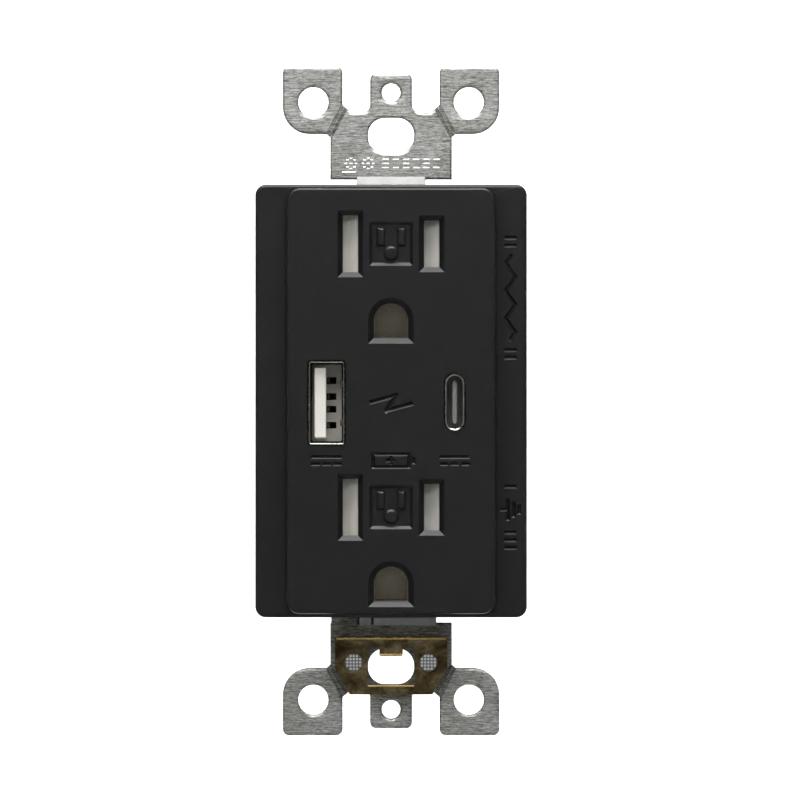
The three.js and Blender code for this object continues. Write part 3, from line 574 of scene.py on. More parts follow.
# A darker copy of the strap's steel. On the strap's ramps it is painted shade that keeps their reflection
# of the overhead light down.
DIMMED_STEEL = plated_metal("dimmed_steel", (0.25, 0.25, 0.245), (0.32, 0.32, 0.315), (0.42, 0.5))
BRASS = plated_metal("bright_brass", (0.55, 0.36, 0.12), (0.78, 0.57, 0.25))
NICKEL = plated_metal("satin_nickel", (0.5, 0.48, 0.43), (0.74, 0.72, 0.67))
DULL_BRONZE = plated_metal(
    "dull_bronze", (0.34, 0.305, 0.235), (0.375, 0.34, 0.265), (0.24, 0.28), wear=0.0005
)
GREEN = plated_metal("green_zinc", (0.015, 0.13, 0.045), (0.04, 0.24, 0.085), (0.24, 0.38))
WIRE = plated_metal("spring_wire", (0.4, 0.4, 0.41), (0.62, 0.62, 0.63))
BOARD = circuit_board()
GLASS = clear_glass()


# ---------- Camera, light and floor ----------
# Everything in this section is in metres and watts.
CAMERA_DISTANCE, VIEW_WIDTH = 2.0, 0.1254
CAMERA_X, CAMERA_Z = 0.0014, 0.00016
# The lights on the object: place, target, size and power of each.
OBJECT_LIGHTS = {
    "overhead": ((0, -0.25, 0.75), (0, 0, 0), (0.8, 0.35), 10.5),
    "front": ((-0.04, -0.38, 0.285), (0, 0, 0.02), (0.33, 0.2), 0.74),
    "room": ((0, -1.2, 2.6), (0, 0, 0), (3.0, 2.4), 2.1),
}
# The light on the wall behind the object, and each light of the ring that washes the floor.
WALL_POWER, WASH_POWER, WASH_LIGHTS = 50, 2.5, 8
WORLD_COLOUR, WORLD_STRENGTH = (0.95, 0.97, 1.0, 1), 0.01


def camera():
    """A long lens straight in front of the receptacle, a little right of its middle."""
    data = bpy.data.cameras.new("camera")
    data.lens = data.sensor_width * CAMERA_DISTANCE / VIEW_WIDTH
    data.clip_end = 20
    made = linked("camera", data)
    made.location = (CAMERA_X, FLANGE_Y * MM - CAMERA_DISTANCE, CAMERA_Z)
    made.rotation_euler = (pi / 2, 0, 0)
    bpy.context.scene.camera = made


def area_light(name, place, aim, size, energy, spread=180):
    data = bpy.data.lights.new(name, "AREA")
    data.spread = radians(spread)
    data.shape = "RECTANGLE"
    data.size, data.size_y = size
    data.energy = energy
    made = linked(name, data)
    made.location = place
    made.rotation_euler = (Vector(aim) - Vector(place)).to_track_quat("-Z", "Y").to_euler()


def studio():
    """A pale round floor that sweeps up into a wall, with soft lights on the object and on the studio.

    The lights on the studio stand farther out than a camera that frames the object.
    """
    floor, reach, bend, top = -1.2, 3.6, 0.9, 2.2
    profile = [(0.02, floor)]
    profile += [(reach - bend + r, floor + bend + z) for r, z in arc(0, 0, bend, -90, 0, 16)]
    profile.append((reach, top))
    bm = bmesh.new()
    rows = [[bm.verts.new((x, y, z)) for x, y in circle(radius, steps=96)] for radius, z in profile]
    bm.faces.new(rows[0])
    for a, b in zip(rows, rows[1:]):
        bridge(bm, a, b)
    sweep = object_of(bm, "studio_sweep")
    smooth(sweep.data)
    paper = Surface("pale_paper", roughness=0.9)
    paper.colour(paper.ramp(paper.noise(0.01, 0.01, 0.01), (0.3, 0.84), (0.7, 0.86)))
    sweep.data.materials.append(paper.material)
    for name, (place, aim, size, power) in OBJECT_LIGHTS.items():
        area_light(name, place, aim, size, power)
    area_light("wall", (0, 2.7, 1.75), (0, reach, 0), (1.6, 0.4), WALL_POWER, spread=90)
    for i in range(WASH_LIGHTS):
        angle = 2 * pi * (i + 0.5) / WASH_LIGHTS
        outward = Vector((sin(angle), cos(angle), 0))
        place = outward * 2.3 + Vector((0, 0, 2.25))
        aim = outward * 2.9 + Vector((0, 0, floor))
        area_light(f"wash_{i + 1}", place, aim, (1.0, 0.4), WASH_POWER, spread=70)
    world = bpy.data.worlds.new("studio")
    world.use_nodes = True
    background = world.node_tree.nodes["Background"]
    background.inputs["Color"].default_value = WORLD_COLOUR
    background.inputs["Strength"].default_value = WORLD_STRENGTH
    bpy.context.scene.world = world
    bpy.context.scene.view_settings.view_transform = "Standard"


# ---------- Front cover ----------
def lead_in(outline_of, mouth):
    """A cutter with a sloping mouth of that depth. outline_of(grow) is grown by that much all round."""
    return prism(
        (outline_of(mouth + 0.3), FACE_Y - 0.3),
        (outline_of(mouth), FACE_Y),
        (outline_of(0), FACE_Y + mouth),
        (outline_of(0), THROUGH),
    )


def slot_cutter(x, height, z):
    return lead_in(lambda grow: rectangle(2.4 + 2 * grow, height + 2 * grow, x, z), 0.8)


def ground_cutter(z):
    return lead_in(lambda grow: ground_hole(2.7 + grow, 2.75 + grow, z), 0.88)


def recess(outline_of, depth, surface=FACE_Y):
    """A shallow recess with sides at 45 degrees. outline_of(grow) is wider by that much in all."""
    return prism(
        (outline_of(2 * (depth + 0.3)), surface - 0.3),
        (outline_of(2 * depth), surface),
        (outline_of(0), surface + depth),
    )


def bar_outline(start, end, half):
    """A straight bar between two points (x, z), longer at each end and wider at each side by half."""
    start, end = Vector(start), Vector(end)
    along = (end - start).normalized()
    across = Vector((-along.y, along.x))
    low, high = start - along * half, end + along * half
    corners = (low - across * half, high - across * half, high + across * half, low + across * half)
    return [tuple(p) for p in corners]


def stroke(start, end, surface=FACE_Y, depth=0.26):
    """A straight groove with a V section between two points (x, z)."""
    return recess(lambda grow: bar_outline(start, end, 0.05 + grow / 2), depth, surface)


def raised(outline_of, foot, height):
    """A domed stroke that stands up from a recess's floor."""
    levels = ((0.6, 0), (0.45, 0.45), (0.1, 0.8), (-0.4, 1))
    sections = [(outline_of(grow), foot - height * t) for grow, t in levels]
    return prism((outline_of(0.6), foot + 0.2), *sections)


def plug_mark(z):
    """A generic plug face for the plaque: two blades and a ground pin, raised."""
    foot, height = FACE_Y + PLAQUE_DEPTH, 0.45
    marks = []
    for x in (-1.6, 1.6):
        marks.append(raised(lambda g: rectangle(0.8 + g, 2.4 + g, x, z + 1.1), foot, height))
    marks.append(raised(lambda g: circle(0.9 + g / 2, 0, z - 1.5, 24), foot, height))
    return marks


def plaque(z):
    """The square recess between an outlet's slots."""
    return recess(lambda grow: rounded(PLAQUE + grow, PLAQUE + grow, 0.1 + grow / 4, 0, z, 3), PLAQUE_DEPTH)


def port_hole(centre, size, radius):
    """An opening with 0.15 mm of room round a port's shell."""
    outline = rounded(size.x + 0.3, size.z + 0.3, radius, centre.x, centre.z)
    return prism((outline, FACE_Y - 1), (outline, THROUGH))


def bolt_mark(x, z):
    """A lightning bolt lying on its side, as a zigzag groove."""
    corners = [(x - 3.1, z + 0.15), (x + 0.75, z + 1.2), (x - 0.75, z - 1.2), (x + 3.1, z - 0.15)]
    return [stroke(a, b, depth=0.32) for a, b in zip(corners, corners[1:])]


def direct_current_mark(x, z):
    """A long bar over three short ones, engraved."""
    dashes = [stroke((x + dx - 0.4, z - 0.55), (x + dx + 0.4, z - 0.55)) for dx in (-1.7, 0, 1.7)]
    return [stroke((x - 2.1, z + 0.55), (x + 2.1, z + 0.55)), *dashes]


def battery_mark(x, z):
    """A battery's outline with a plus sign in it, engraved."""
    corners = rectangle(5.6, 2.0, x, z)
    sides = [stroke(a, b) for a, b in zip(corners, corners[1:] + corners[:1])]
    knob = stroke((x + 3.5, z - 0.3), (x + 3.5, z + 0.3))
    return [*sides, knob, stroke((x - 0.5, z), (x + 0.5, z)), stroke((x, z - 0.5), (x, z + 0.5))]


def alternating_current_mark(x, z, length, waves):
    """A zigzag wave that runs up the flange, engraved."""
    turns = 4 * waves
    points = []
    for i in range(turns + 1):
        points.append((x + 0.75 * sin(pi / 2 * i), z + length * (i / turns - 0.5)))
    return [stroke(a, b, FLANGE_Y) for a, b in zip(points, points[1:])]


def flange_bars(x, heights):
    """Short bars across the flange, engraved."""
    return [stroke((x - 0.7, z), (x + 0.7, z), FLANGE_Y) for z in heights]


def earth_mark(x, z):
    """The three-bar earth symbol on its side, engraved."""
    bars = [stroke((x - 1.3, z), (x - 0.5, z), FLANGE_Y)]
    for i in range(3):
        half = 1.5 - 0.5 * i
        bars.append(stroke((x - 0.3 + 0.9 * i, z - half), (x - 0.3 + 0.9 * i, z + half), FLANGE_Y))
    return bars


def front_cover():
    inner = FACE_Y + 1.6
    shell = joined(
        slab(*FLANGE, 1.7, FLANGE_Y, FLANGE_BACK, 0.5, 0.15),
        slab(FACE[0] - 0.3, FACE[1] - 0.1, 2.0, FACE_Y, FLANGE_Y + 1.0, 0.3, 0.05, draft=0.15),
    )
    # A fine groove where the raised face meets the flange.
    groove = slab(FACE[0] + 0.35, FACE[1] + 0.3, 2.2, FLANGE_Y - 0.4, FLANGE_Y + 0.14, 0.02, 0.02)
    cut(groove, slab(FACE[0], FACE[1], 2.05, FLANGE_Y - 1, FLANGE_Y + 1, 0.02, 0.02))
    cut(shell, groove)
    cut(shell, slab(FACE[0] - 3.2, FACE[1] - 3.2, 0.8, inner, 1, 0.05, 0.05))
    cut(shell, slab(FLANGE[0] - 3, FLANGE[1] - 3, 0.8, FLANGE_Y + 1.4, 1, 0.05, 0.05))
    openings = []
    for z in OUTLETS.values():
        openings.append(slot_cutter(-BLADE_X, 8.9, z))
        openings.append(slot_cutter(BLADE_X, 7.3, z))
        openings.append(ground_cutter(z - GROUND_DROP))
        openings.append(plaque(z))
    openings.append(port_hole(PORT_A, PORT_A_SIZE, 0.5))
    openings.append(port_hole(PORT_C, PORT_C_SIZE, PORT_C_SIZE.x / 2 + 0.14))
    openings += bolt_mark(0, PORT_A.z)
    for port in (PORT_A, PORT_C):
        openings += direct_current_mark(port.x, MARK_ROW)
    openings += battery_mark(0, MARK_ROW)
    openings += alternating_current_mark(FLANGE_MARK_X, 16.2, 13.0, 3)
    openings += earth_mark(FLANGE_MARK_X - 0.1, -17.0)
    openings += flange_bars(FLANGE_MARK_X, (25.6, 24.4, 8.0, 6.8, -13.4, -20.6, -21.8, -23.0))
    # Gates for the strap in the top and bottom rims.
    gate = (FLANGE_Y + 1.0, 1.0)
    openings.append(block((-5.8, 5.8), gate, (31.5, 36)))
    openings.append(block((-9.9, 7.5), gate, (-36, -31.5)))
    cut_all(shell, openings)
    for z in OUTLETS.values():
        joined(shell, *plug_mark(z))
    soften(shell, 0.07, segments=2)
    piece("front_cover_moulding", shell, BLACK, ["front_cover"])


# ---------- Mounting strap ----------
def strap_half():
    """The right-hand side of the strap's top end, from its shoulder up to the middle of its tab."""
    small, fillet, notch, tab, tab_end = 1.0, 1.3, 45.25, 3.3, 51.4
    points = [(9.55, 34.75), (9.55, EAR_FOOT - 0.5)]
    points += arc(10.35, EAR_FOOT - 0.6, 0.6, 150, 95, 4)
    points += arc(EAR_OUTER - EAR_CORNER, EAR_FOOT + EAR_CORNER, EAR_CORNER, -90, 0, 14)
    points += arc(EAR_OUTER - small, EAR_END - small, small, 0, 90, 8)
    points += arc(EAR_INNER + small, EAR_END - small, small, 90, 180, 8)
    points += [(EAR_INNER, 46.5), (6.85, 45.85), (6.1, notch)]
    points += arc(tab + fillet, notch + fillet, fillet, 270, 180, 8)
    points += arc(tab - small, tab_end - small, small, 0, 90, 8)
    return points


def strap_end():
    """The strap's top end, flat and stamped, with its holes and the grooves of its ears."""
    outline = mirrored(strap_half())
    holes = [
        rounded(7.2, 5.55, 2.6, 0, MOUNT_Z, 12),
        circle(1.45, 0, TAB_HOLE_Z),
        circle(2.35, EAR_HOLE_X, EAR_HOLE_Z),
        circle(2.35, -EAR_HOLE_X, EAR_HOLE_Z),
    ]
    plate = sheet_metal([outline, *holes], -STEEL, 0, 0.4)
    countersink = rod("y", 1.85, (-STEEL - 0.05, -STEEL + 0.4), (0, 0, TAB_HOLE_Z), 1.42)
    return cut(plate, countersink, *snap_grooves(1), *snap_grooves(-1))


def snap_grooves(side):
    """The two V grooves, close together, where an ear snaps off."""
    start, stop = Vector((6.6, 47.5)), Vector((10.3, 40.6))
    along = (stop - start).normalized()
    across = Vector((-along.y, along.x))
    grooves = []
    depth, mouth, foot = 0.38, 0.32, 0.06
    for middle in (-0.34, 0.34):
        section = [(middle - mouth, -0.1), (middle - foot, depth)]
        section += [(middle + foot, depth), (middle + mouth, -0.1)]
        rings = []
        for end in (start, stop):
            spots = [(end + across * offset, deep) for offset, deep in section]
            rings.append([(side * spot.x, -STEEL + deep, spot.y) for spot, deep in spots])
        grooves.append(loft(rings))
    return grooves


def burr(start, end):
    """A straight ridge of metal that a punch has thrown up on the strap, between two points (x, z)."""
    wide, narrow, proud = 0.15, 0.06, 0.06
    levels = ((wide, -STEEL + 0.1), (wide, -STEEL), (narrow, -STEEL - proud))
    return prism(*[(bar_outline(start, end, half), y) for half, y in levels])


def stampings():
    """A generic row of punched rings, bars and dots near the foot of the strap's top end."""
    row = STAMPED_ROW
    marks = []
    for x in (-6.3, -3.6):
        for spot_x, spot_z in circle(0.8, x, row, 8):
            marks.append(burr((spot_x - 0.08, spot_z), (spot_x + 0.08, spot_z)))
        marks.append(burr((x - 0.15, row), (x + 0.15, row)))
    for i, x in enumerate((-0.8, 0.8, 2.4, 4.0, 5.6, 7.2)):
        for dz in ((-0.65, 0.65) if i % 2 else (-0.65, 0, 0.65)):
            marks.append(burr((x - 0.4, row + dz), (x + 0.3, row + dz)))
    marks.append(burr((-7.6, row - 1.35), (-5.6, row - 1.35)))
    piece("strap_stampings", together(marks), BRIGHT_STEEL)


def strap_ramp(sign, x):
    """The slope from the strap's end up to its centre bar."""
    outer, inner, step = 35.3, 32.6, STRAP_STEP
    foot = 0.04 - STEEL
    profile = [
        (0, outer + 0.6), (foot, outer + 0.6), (foot, outer), (-STEEL - step, inner),
        (-STEEL - step, inner - 1), (-step, inner - 1), (-step, inner), (0, outer),
    ]
    rings = [[(end, y, sign * z) for y, z in profile] for end in x]
    return soften(loft(rings), 0.12, segments=2)


def knurl(x):
    """A rivet head pressed flat, and the raised points of its square knurl."""
    top = clip_low.y + 0.42
    wide, narrow = circle(1.42, x, STAKE_Z), circle(1.3, x, STAKE_Z)
    head = prism((wide, -1.0), (wide, top), (narrow, top - 0.1))
    pitch, reach, edge = 0.5, 2, 1.25
    points = []
    for i in range(-reach, reach + 1):
        for j in range(-reach, reach + 1):
            if hypot(i, j) * pitch < edge:
                spot = (x + i * pitch, STAKE_Z + j * pitch)
                foot, tip = rectangle(0.36, 0.36, *spot), rectangle(0.3, 0.3, *spot)
                points.append(prism((foot, top), (tip, top - 0.3)))
    return head, points


def mounting_strap():
    top = strap_end()
    bottom = moved(strap_end(), Matrix.Scale(-1, 4, (0, 0, 1)))
    bar = soften(block((-4.4, 4.4), (-STEEL - STRAP_STEP, -STRAP_STEP), (-34, 34)), 0.15)
    for z in OUTLETS.values():
        hole = rounded(5.8, 5.8, 0.8, 0, z - GROUND_DROP)
        cut(bar, prism((hole, -4), (hole, 1)))
        cut(bar, rod("y", 0.9, (-4, 1), (0, 0, z - GROUND_DROP + 4.2)))
    ground = centre_of("ground_clamp")
    arm = block((-9.4, -5.3), (-STEEL, 0), (-36, -33.7))
    joined(arm, block((-9.4, -5.4), (-STEEL, 2), (-35, -33.7)))
    soften(joined(arm, block((-9.4, -1.4), (1.0, strap_back), (-35, -33.7))), 0.2)
    cut(arm, rod("z", 2.05, (-37, -32), (ground.x, ground.y, 0)))
    shape = joined(top, bar, bottom, arm)
    ramps = [strap_ramp(1, (-5.4, 5.4)), strap_ramp(-1, (-2.75, 7.1)), strap_ramp(-1, (-5.0, -3.1))]
    # Painted shade: the ramps get the darker copy of the strap's steel, against their reflection of the
    # overhead light.
    piece("strap_ramps", together(ramps), DIMMED_STEEL)
    piece("strap_pressing", shape, ZINC, ["mounting_strap"])
    (left, left_points), (right, right_points) = knurl(-STAKE_X), knurl(STAKE_X)
    piece("strap_stakes", together([left, right]), DIMMED_STEEL)
    points = together(left_points + right_points)
    piece("strap_stake_points", points, BRIGHT_STEEL)
    stampings()


# ---------- Grounding clip ----------
def grounding_clip():
    back = clip_high.y
    front = back - 0.4
    outline = mirrored([(6.5, -46.05), (8.8, -41.9), (8.8, -37.2)])
    window = mirrored([(3.75, -44.6), (3.75, -38.6), (1.85, -38.6), (1.85, -39.9)])
    holes = [circle(1.46, x, STAKE_Z) for x in (-STAKE_X, STAKE_X)]
    sheet = sheet_metal([outline, window, *holes], front, back, 0.08)
    piece("grounding_clip_spring", sheet, CLIP_BRASS, ["grounding_clip"])
    # Rods of bright brass along the clip's edges and window lips: a painted highlight where these edges
    # catch the light.
    rolls = (
        (8.6, -37.25, 0.02, 0.22), (3.6, -44.72, 0.05, 0.17),
        (1.8, -39.8, 0.02, 0.24), (6.3, -45.95, 0.12, 0.12),
    )
    edges = [rod("x", radius, (-half, half), (0, front + dy, z), steps=20) for half, z, dy, radius in rolls]
    piece("grounding_clip_highlight_rods", together(edges), BRASS)


# ---------- USB ports ----------
def port_shell(width, height, radius, sheet, x, z, y):
    """A drawn metal tube with a rounded mouth."""
    front, back = y
    outer = rounded(width, height, radius, x, z)
    middle = rounded(width - sheet, height - sheet, radius - sheet / 2, x, z)
    inner = rounded(width - 2 * sheet, height - 2 * sheet, radius - sheet, x, z)
    lip = front + 0.12
    sections = [(outer, back), (outer, lip), (middle, front), (inner, lip), (inner, back)]
    return prism(*sections, closed=True)


def usb_a():
    x, z = PORT_A.x, PORT_A.z
    tube = port_shell(PORT_A_SIZE.x, PORT_A_SIZE.z, 0.45, 0.24, x, z, (port_a_low.y, port_a_high.y))
    right = port_a_high.x
    # Two leaf springs, each bent out of a window in the shell's right side.
    path = [
        (right - 0.28, -3.0), (right - 0.75, -5.4), (right - 0.5, -6.5),
        (right - 0.3, -6.4), (right - 0.53, -5.4), (right - 0.08, -3.0),
    ]
    springs = []
    for middle in (z + 2.9, z - 3.1):
        cut(tube, block((right - 0.6, right + 0.3), (-6.6, -3.2), (middle - 0.8, middle + 0.8)))
        springs.append(stack((path, middle - 0.5), (path, middle + 0.5)))
    drawn = together([tube, *springs])
    piece("usb_a_shell_drawn", drawn, NICKEL, ["usb_a_shell"])

    low, high = box("usb_a_insulator")
    wall = slab(high.x - low.x, high.z - low.z, 0.3, -0.8, high.y, 0.08, 0.05, x=x, z=z)
    tongue = slab(1.85, 11.0, 0.3, low.y, 2.2, 0.25, 0.02, x=x - 0.975, z=z)
    moulding = joined(wall, tongue)
    pins = [box(f"usb_a_contact_{i}") for i in range(1, 5)]
    for pin_low, pin_high in pins:
        middle = (pin_low.z + pin_high.z) / 2
        cut(moulding, block((x - 0.05, x + 1.5), (-2, 7), (middle - 0.52, middle + 0.52)))
    soften(moulding, 0.05, segments=2)
    piece("usb_a_tongue_moulding", moulding, WHITE, ["usb_a_insulator"])
    # The leaves are gold-plated, but get the clip's dark brown brass: painted shade for how dark they sit
    # deep in the port.
    for i, (pin_low, pin_high) in enumerate(pins, start=1):
        left, right, tip, end = pin_low.x, pin_high.x, pin_low.y, pin_high.y
        leaf = [
            (left, end), (left, tip + 0.4), (left + 0.05, tip), (left + 0.18, tip + 0.1),
            (left + 0.2, tip + 1.0), (left + 0.32, -2.5), (left + 0.2, 0.5), (left + 0.2, end - 0.2),
            (right, end - 0.2), (right, end),
        ]
        blade = stack((leaf, pin_low.z), (leaf, pin_high.z))
        soften(blade, 0.03, segments=2)
        piece(f"usb_a_leaf_{i}", blade, CLIP_BRASS, [f"usb_a_contact_{i}"])


def usb_c():
    x, z = PORT_C.x, PORT_C.z
    radius = PORT_C_SIZE.x / 2 - 0.005
    tube = port_shell(PORT_C_SIZE.x, PORT_C_SIZE.z, radius, 0.28, x, z, (port_c_low.y, port_c_high.y))
    piece("usb_c_shell_drawn", tube, NICKEL, ["usb_c_shell"])
    low, high = box("usb_c_tongue")
    plug = slab(2.5, PORT_C_SIZE.z - 0.66, 1.1, -2.2, high.y, 0.1, 0.05, x=x, z=z)
    blade = joined(plug, slab(0.7, 6.7, 0.3, low.y, 0, 0.18, 0.02, x=x, z=z))
    piece("usb_c_tongue_moulding", blade, GREY, ["usb_c_tongue"])
    strips = []
    pitch, count = 0.5, 12
    for side in (-1, 1):
        face = x + side * 0.37
        for i in range(count):
            middle = z + pitch * (i - (count - 1) / 2)
            strips.append(block((face - 0.03, face + 0.03), (-7.0, -1.5), (middle - 0.13, middle + 0.13)))
    piece("usb_c_contact_strips", together(strips), NICKEL)


# ---------- Shutters and springs ----------
def shutter(which, z):
    """A sliding frame with a sloping, stepped pad behind each blade slot."""
    low, high = box(f"shutter_{which}")
    pad, half = SHUTTER_PAD, high.z - z
    opening = high.x - 2 * pad
    back, front = high.y, low.y
    slider = slab(high.x - low.x, high.z - low.z, 0.5, front + 0.9, back, 0.15, 0.1, z=z)
    cut(slider, block((-opening, opening), (front - 1, back + 1), (z - half + 0.8, z + half - 0.8)))
    for x in (-BLADE_X, BLADE_X):
        left, right = x - pad, x + pad
        profile = [
            (left, back), (left, back - 0.9), (x - 0.35, back - 1.5), (x - 0.35, back - 1.62),
            (right - 0.5, front), (right, front), (right, back),
        ]
        joined(slider, stack((profile, z - 4.7), (profile, z + 4.7)))
    soften(slider, 0.08, segments=2)
    body = f"shutter_{which}"
    piece(f"{body}_moulding", slider, CREAM, [body], body)


def shutter_spring(which):
    """The coil that the shutter squeezes against the right end of its tray."""
    low, high = box(f"shutter_spring_{which}")
    wire, turns = 0.17, 5.5
    centre = (low + high) / 2
    coil = (high.z - low.z) / 2 - wire
    start, end = low.x + wire, high.x - wire
    steps = int(turns * 24)
    points = []
    for i in range(steps + 1):
        t = i / steps
        # The end turns lie closer together, as on a ground compression spring.
        along = t + 0.055 * sin(2 * pi * t)
        angle = 2 * pi * turns * t
        y, z = centre.y + coil * cos(angle), centre.z + coil * sin(angle)
        points.append((start + (end - start) * along, y, z))
    solid = swept(points, wire)
    made = piece(f"shutter_{which}_coil", solid, WIRE, [f"shutter_spring_{which}"])
    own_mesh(made)


# ---------- Screws and clamps ----------
def dome(radius, height, foot=0.0):
    """The (radius, z) profile of a binding head's rim and crown, from its foot up to the axis."""
    edge, shoulder, crown, steps = 0.12, 0.35, 0.35, 8
    rim = [(radius - edge, foot), (radius, foot + edge), (radius, foot + height * 0.5)]
    for i in range(1, 5):
        a = pi / 2 * i / 4
        rim.append((radius - shoulder * (1 - cos(a)), foot + height * 0.5 + shoulder * sin(a)))
    last_radius, last_height = rim[-1]
    top = []
    for i in range(1, steps):
        t = i / steps
        top.append((last_radius * (1 - t), last_height + crown * (1 - (1 - t) ** 2)))
    return rim + top + [(0, last_height + crown)]


def threads(radius, start, end, pitch=0.79, depth=0.22):
    """A stepped profile of ridges that stands for the thread."""
    points = []
    count = int((end - start) / pitch)
    for i in range(count):
        z = start + i * pitch
        points += [(radius - depth, z), (radius - depth, z + 0.12)]
        points += [(radius, z + 0.36), (radius, z + 0.5)]
    return points


def cross_slot(head_top, radius):
    """Cutters for a straight slot with a cross recess in its middle."""
    width = 0.95
    long_slot = block((-radius - 1, radius + 1), (-width / 2, width / 2), (head_top - 1.0, head_top + 1))
    cross = stack(
        (rectangle(width, 4.2), head_top + 0.5),
        (rectangle(width, 4.0), head_top - 0.2),
        (rectangle(0.5, 1.4), head_top - 1.5),
    )
    return long_slot, cross


def binding_screw(head, thick, below):
    """A binding-head screw along +Z, with the underside of its head at z = 0."""
    shank = 1.75
    profile = [(0, -below), (shank - 0.6, -below), (shank - 0.25, -below + 0.4)]
    profile += threads(shank, -below + 0.5, -0.7)
    profile += [(shank - 0.2, -0.4), (shank, -0.15), (shank, 0)]
    profile += dome(head, thick - 0.6)
    solid = turned(profile, 56)
    return cut(solid, *cross_slot(profile[-1][1], head))


def side_frame(node, side):
    """Turns a piece that points along +Z to point outwards along X, at the node's own place."""
    centre = centre_of(node)
    return Matrix.Translation((0, centre.y, centre.z)) @ rotation(90 * side, "Y")


def clamp_plate(size, ribs=True):
    """A square saddle with ribs on its back."""
    plate = sheet_metal([rounded(size, size, 0.7), circle(2.1)], 0, CLAMP_THICK, 0.18)
    moved(plate, rotation(-90, "X") @ Matrix.Scale(-1, 4, (0, 1, 0)))
    if ribs:
        for dx in (-2.9, 2.9):
            for step in (-1.2, -0.4, 0.4, 1.2):
                x = dx + step * 0.8
                tooth = [[(x - 0.25, y, 0.1), (x + 0.25, y, 0.1), (x, y, -0.2)] for y in (-3.4, 3.4)]
                joined(plate, loft(tooth))
    return plate


def terminal(bus, side, which, metal):
    """A clamp on its screw, at the right (side 1) or at the left (side -1) of the body."""
    screw, clamp = f"terminal_screw_{bus}_{which}", f"clamp_plate_{bus}_{which}"
    low, high = box(clamp)
    outer = max(abs(low.x), abs(high.x))
    out_to_plate = Matrix.Translation((0, 0, outer - CLAMP_THICK))
    saddle = moved(clamp_plate(8.4), side_frame(clamp, side) @ out_to_plate)
    piece(f"{clamp}_pressing", saddle, NICKEL, [clamp], clamp)
    out_to_head = Matrix.Translation((0, 0, outer + 0.3))
    solid = moved(binding_screw(3.9, 2.5, 4.6), side_frame(screw, side) @ out_to_head)
    piece(f"{screw}_turned", solid, metal, [screw], screw)


def ground_terminal():
    low, high = box("ground_clamp")
    centre = centre_of("ground_clamp")
    down = Matrix.Translation((centre.x, centre.y, 0)) @ rotation(180, "X")
    washer = moved(clamp_plate(7.2, ribs=False), down @ Matrix.Translation((0, 0, -high.z)))
    piece("ground_clamp_pressing", washer, NICKEL, ["ground_clamp"], "ground_clamp")
    screw = moved(binding_screw(3.5, 2.2, 4.4), down @ Matrix.Translation((0, 0, -low.z + 0.3)))
    piece("ground_screw_turned", screw, GREEN, ["ground_screw"], "ground_screw")


def body_screw(number):
    node = f"body_screw_{number}"
    low, high = box(node)
    centre = centre_of(node)
    length = high.y - low.y
    profile = [(0, 0), (0.3, 0), (0.85, 1.4)]
    profile += threads(1.0, 1.6, length - 2.4, pitch=1.0, depth=0.25)
    profile += [(1.0, length - 1.9)]
    profile += dome(2.3, 1.1, foot=length - 1.8)
    solid = turned(profile, 40)
    top = profile[-1][1]
    for mouth, tip in (((0.6, 3.0), (0.4, 1.0)), ((3.0, 0.6), (1.0, 0.4))):
        cut(solid, stack((rectangle(*mouth), top + 0.4), (rectangle(*tip), top - 0.9)))
    turn = Matrix.Translation((centre.x, low.y, centre.z)) @ rotation(-90, "X")
    piece(f"{node}_turned", moved(solid, turn), ZINC, [node])


# ---------- Rear body ----------
def rear_body():
    """A tub, narrower at its back, with screw posts, terminal bays and wire holes."""
    width, height = body_high.x - body_low.x, body_high.z - body_low.z
    tub = joined(
        slab(width, height, 1.7, body_low.y, SHOULDER, 0.15, 0.6),
        slab(*REAR, 1.8, SHOULDER - 1, body_high.y, 0.1, 1.0, draft=-0.3),
    )
    cut(tub, slab(width - 3.6, height - 3.6, 0.8, -1, SHOULDER - 1.8, 0.05, 0.05))
    cut(tub, slab(REAR[0] - 3.4, REAR[1] - 3.4, 0.8, 5, body_high.y - 1.6, 0.05, 0.05))
    # Each screw's hole is wider at the front, and wider again at the back for the screw's head.
    bores = ((2.2, (-1, 7.4)), (1.5, (0, SHOULDER)), (2.7, (SHOULDER - 2.8, SHOULDER + 1)))
    for x in (-BODY_SCREW_X, BODY_SCREW_X):
        for z in (-BODY_SCREW_Z, BODY_SCREW_Z):
            joined(tub, rod("y", 3.2, (body_low.y, SHOULDER - 1), (x, 0, z)))
            for radius, span in bores:
                cut(tub, rod("y", radius, span, (x, 0, z)))
    for side in (-1, 1):
        for z in TERMINALS.values():
            inner, outer = sorted((side * 14.7, side * 20.5))
            joined(tub, block((inner, outer), (body_low.y, SHOULDER - 0.5), (z - 6.6, z + 6.6)))
            inner, outer = sorted((side * 14.5, side * 22))
            cut(tub, block((inner, outer), (-1, 12.4), (z - 5.2, z + 5.2)))
            for dz in (-2.9, 2.9):
                spot = (side * 17.3, 0, z + dz)
                cut(tub, rod("y", 1.25, (11.4, 17), spot))
                cut(tub, rod("y", 1.1, (SHOULDER - 0.7, SHOULDER + 0.3), spot, 2.1))
    # Room for the ground screw and the strap's arm.
    foot = body_low.z
    ground = centre_of("ground_screw")
    cut(tub, block((-9.9, -0.9), (-1, 11.2), (foot - 1, -32.9)))
    cut(tub, rod("z", 2.4, (foot - 1, -30), (ground.x, ground.y, 0)))
    # A shallow panel with ribs on the back, as moulded housings have.
    back = body_high.y
    cut(tub, prism((rounded(25, 56, 2.0), back + 1), (rounded(24.4, 55.4, 2.0), back - 0.35)))
    for z in (-20, -10, 0, 10, 20):
        rib = block((-11.5, 11.5), (back - 0.8, back - 0.05), (z - 0.5, z + 0.5))
        joined(tub, soften(rib, 0.12))
    soften(tub, 0.16, segments=2)
    piece("rear_body_moulding", tub, DARK, ["rear_body"])


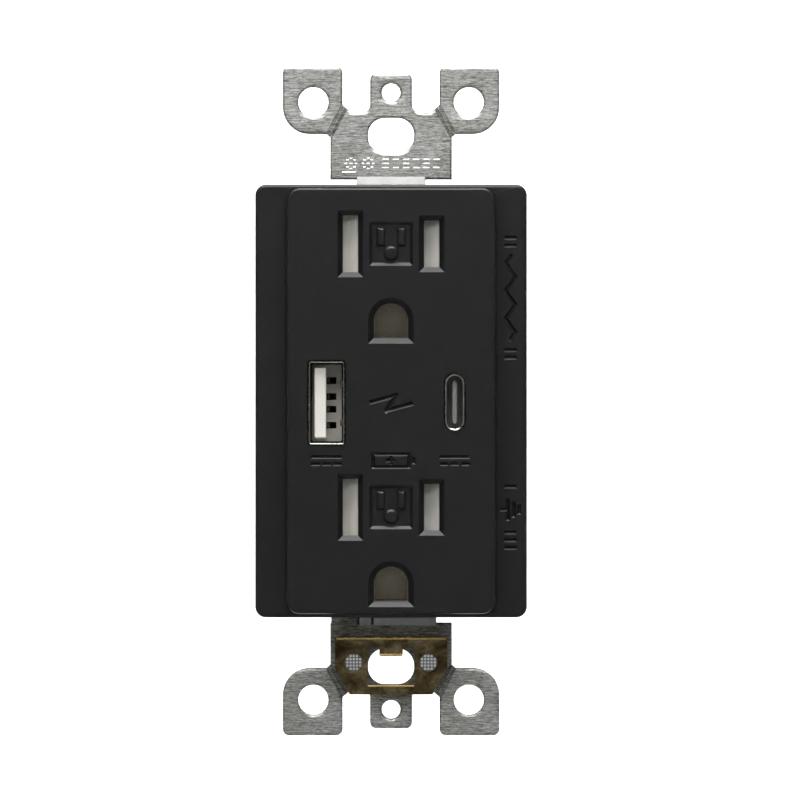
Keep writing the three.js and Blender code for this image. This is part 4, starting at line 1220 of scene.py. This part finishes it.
def ground_contact(which, z):
    """A cup round the ground pin, with the tab that is riveted to the strap."""
    low, high = box(f"ground_contact_{which}")
    centre = z - GROUND_DROP
    wall, side = 0.6, 3.05
    cup = block((-side, side), (low.y, high.y), (centre - 2.95, centre + 2.95))
    tab = block((low.x, high.x), (low.y, low.y + wall), (low.z, high.z))
    joined(cup, tab)
    cut(cup, block((-side + wall, side - wall), (low.y - 1, high.y - wall), (centre - 2.7, centre + 2.7)))
    cut(cup, rod("y", 0.9, (low.y - 1, low.y + 2), (0, 0, centre + 4.2)))
    soften(cup, 0.12, segments=2)
    node = f"ground_contact_{which}"
    piece(f"{node}_cup", cup, DULL_BRONZE, [node])


# ---------- Inner pieces ----------
def dressed(node, material):
    """Gives a CAD piece rounded edges and a finish."""
    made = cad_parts[node]
    flat = made.modifiers.new("flat_faces", "DECIMATE")
    flat.decimate_type = "DISSOLVE"
    flat.angle_limit = radians(0.5)
    bevel(made, 0.1 * MM, 2, 40)
    paint(made, material)


def inner_pieces():
    finishes = {
        "contact_carrier": WHITE, "hot_bus": BRASS, "neutral_bus": NICKEL, "usb_board": BOARD,
        "power_board": BOARD, "board_link": EPOXY, "transformer_core": FERRITE, "transformer_winding": TAPE,
        "input_capacitor_1": SLEEVE, "input_capacitor_2": SLEEVE, "output_capacitor": SLEEVE,
        "bridge_rectifier": EPOXY, "fuse": GLASS, "hot_lead": RED, "neutral_lead": WHITE,
    }
    for which in OUTLETS:
        finishes[f"shutter_carrier_{which}"] = WHITE
        finishes[f"ground_rivet_{which}"] = BRASS
    for node, material in finishes.items():
        dressed(node, material)


# ---------- The scene ----------
camera()
studio()
front_cover()
mounting_strap()
grounding_clip()
usb_a()
usb_c()
for which, z in OUTLETS.items():
    shutter(which, z)
    shutter_spring(which)
    ground_contact(which, z)
for which in TERMINALS:
    terminal("hot", 1, which, BRASS)
    terminal("neutral", -1, which, NICKEL)
ground_terminal()
for number in range(1, 5):
    body_screw(number)
rear_body()
inner_pieces()
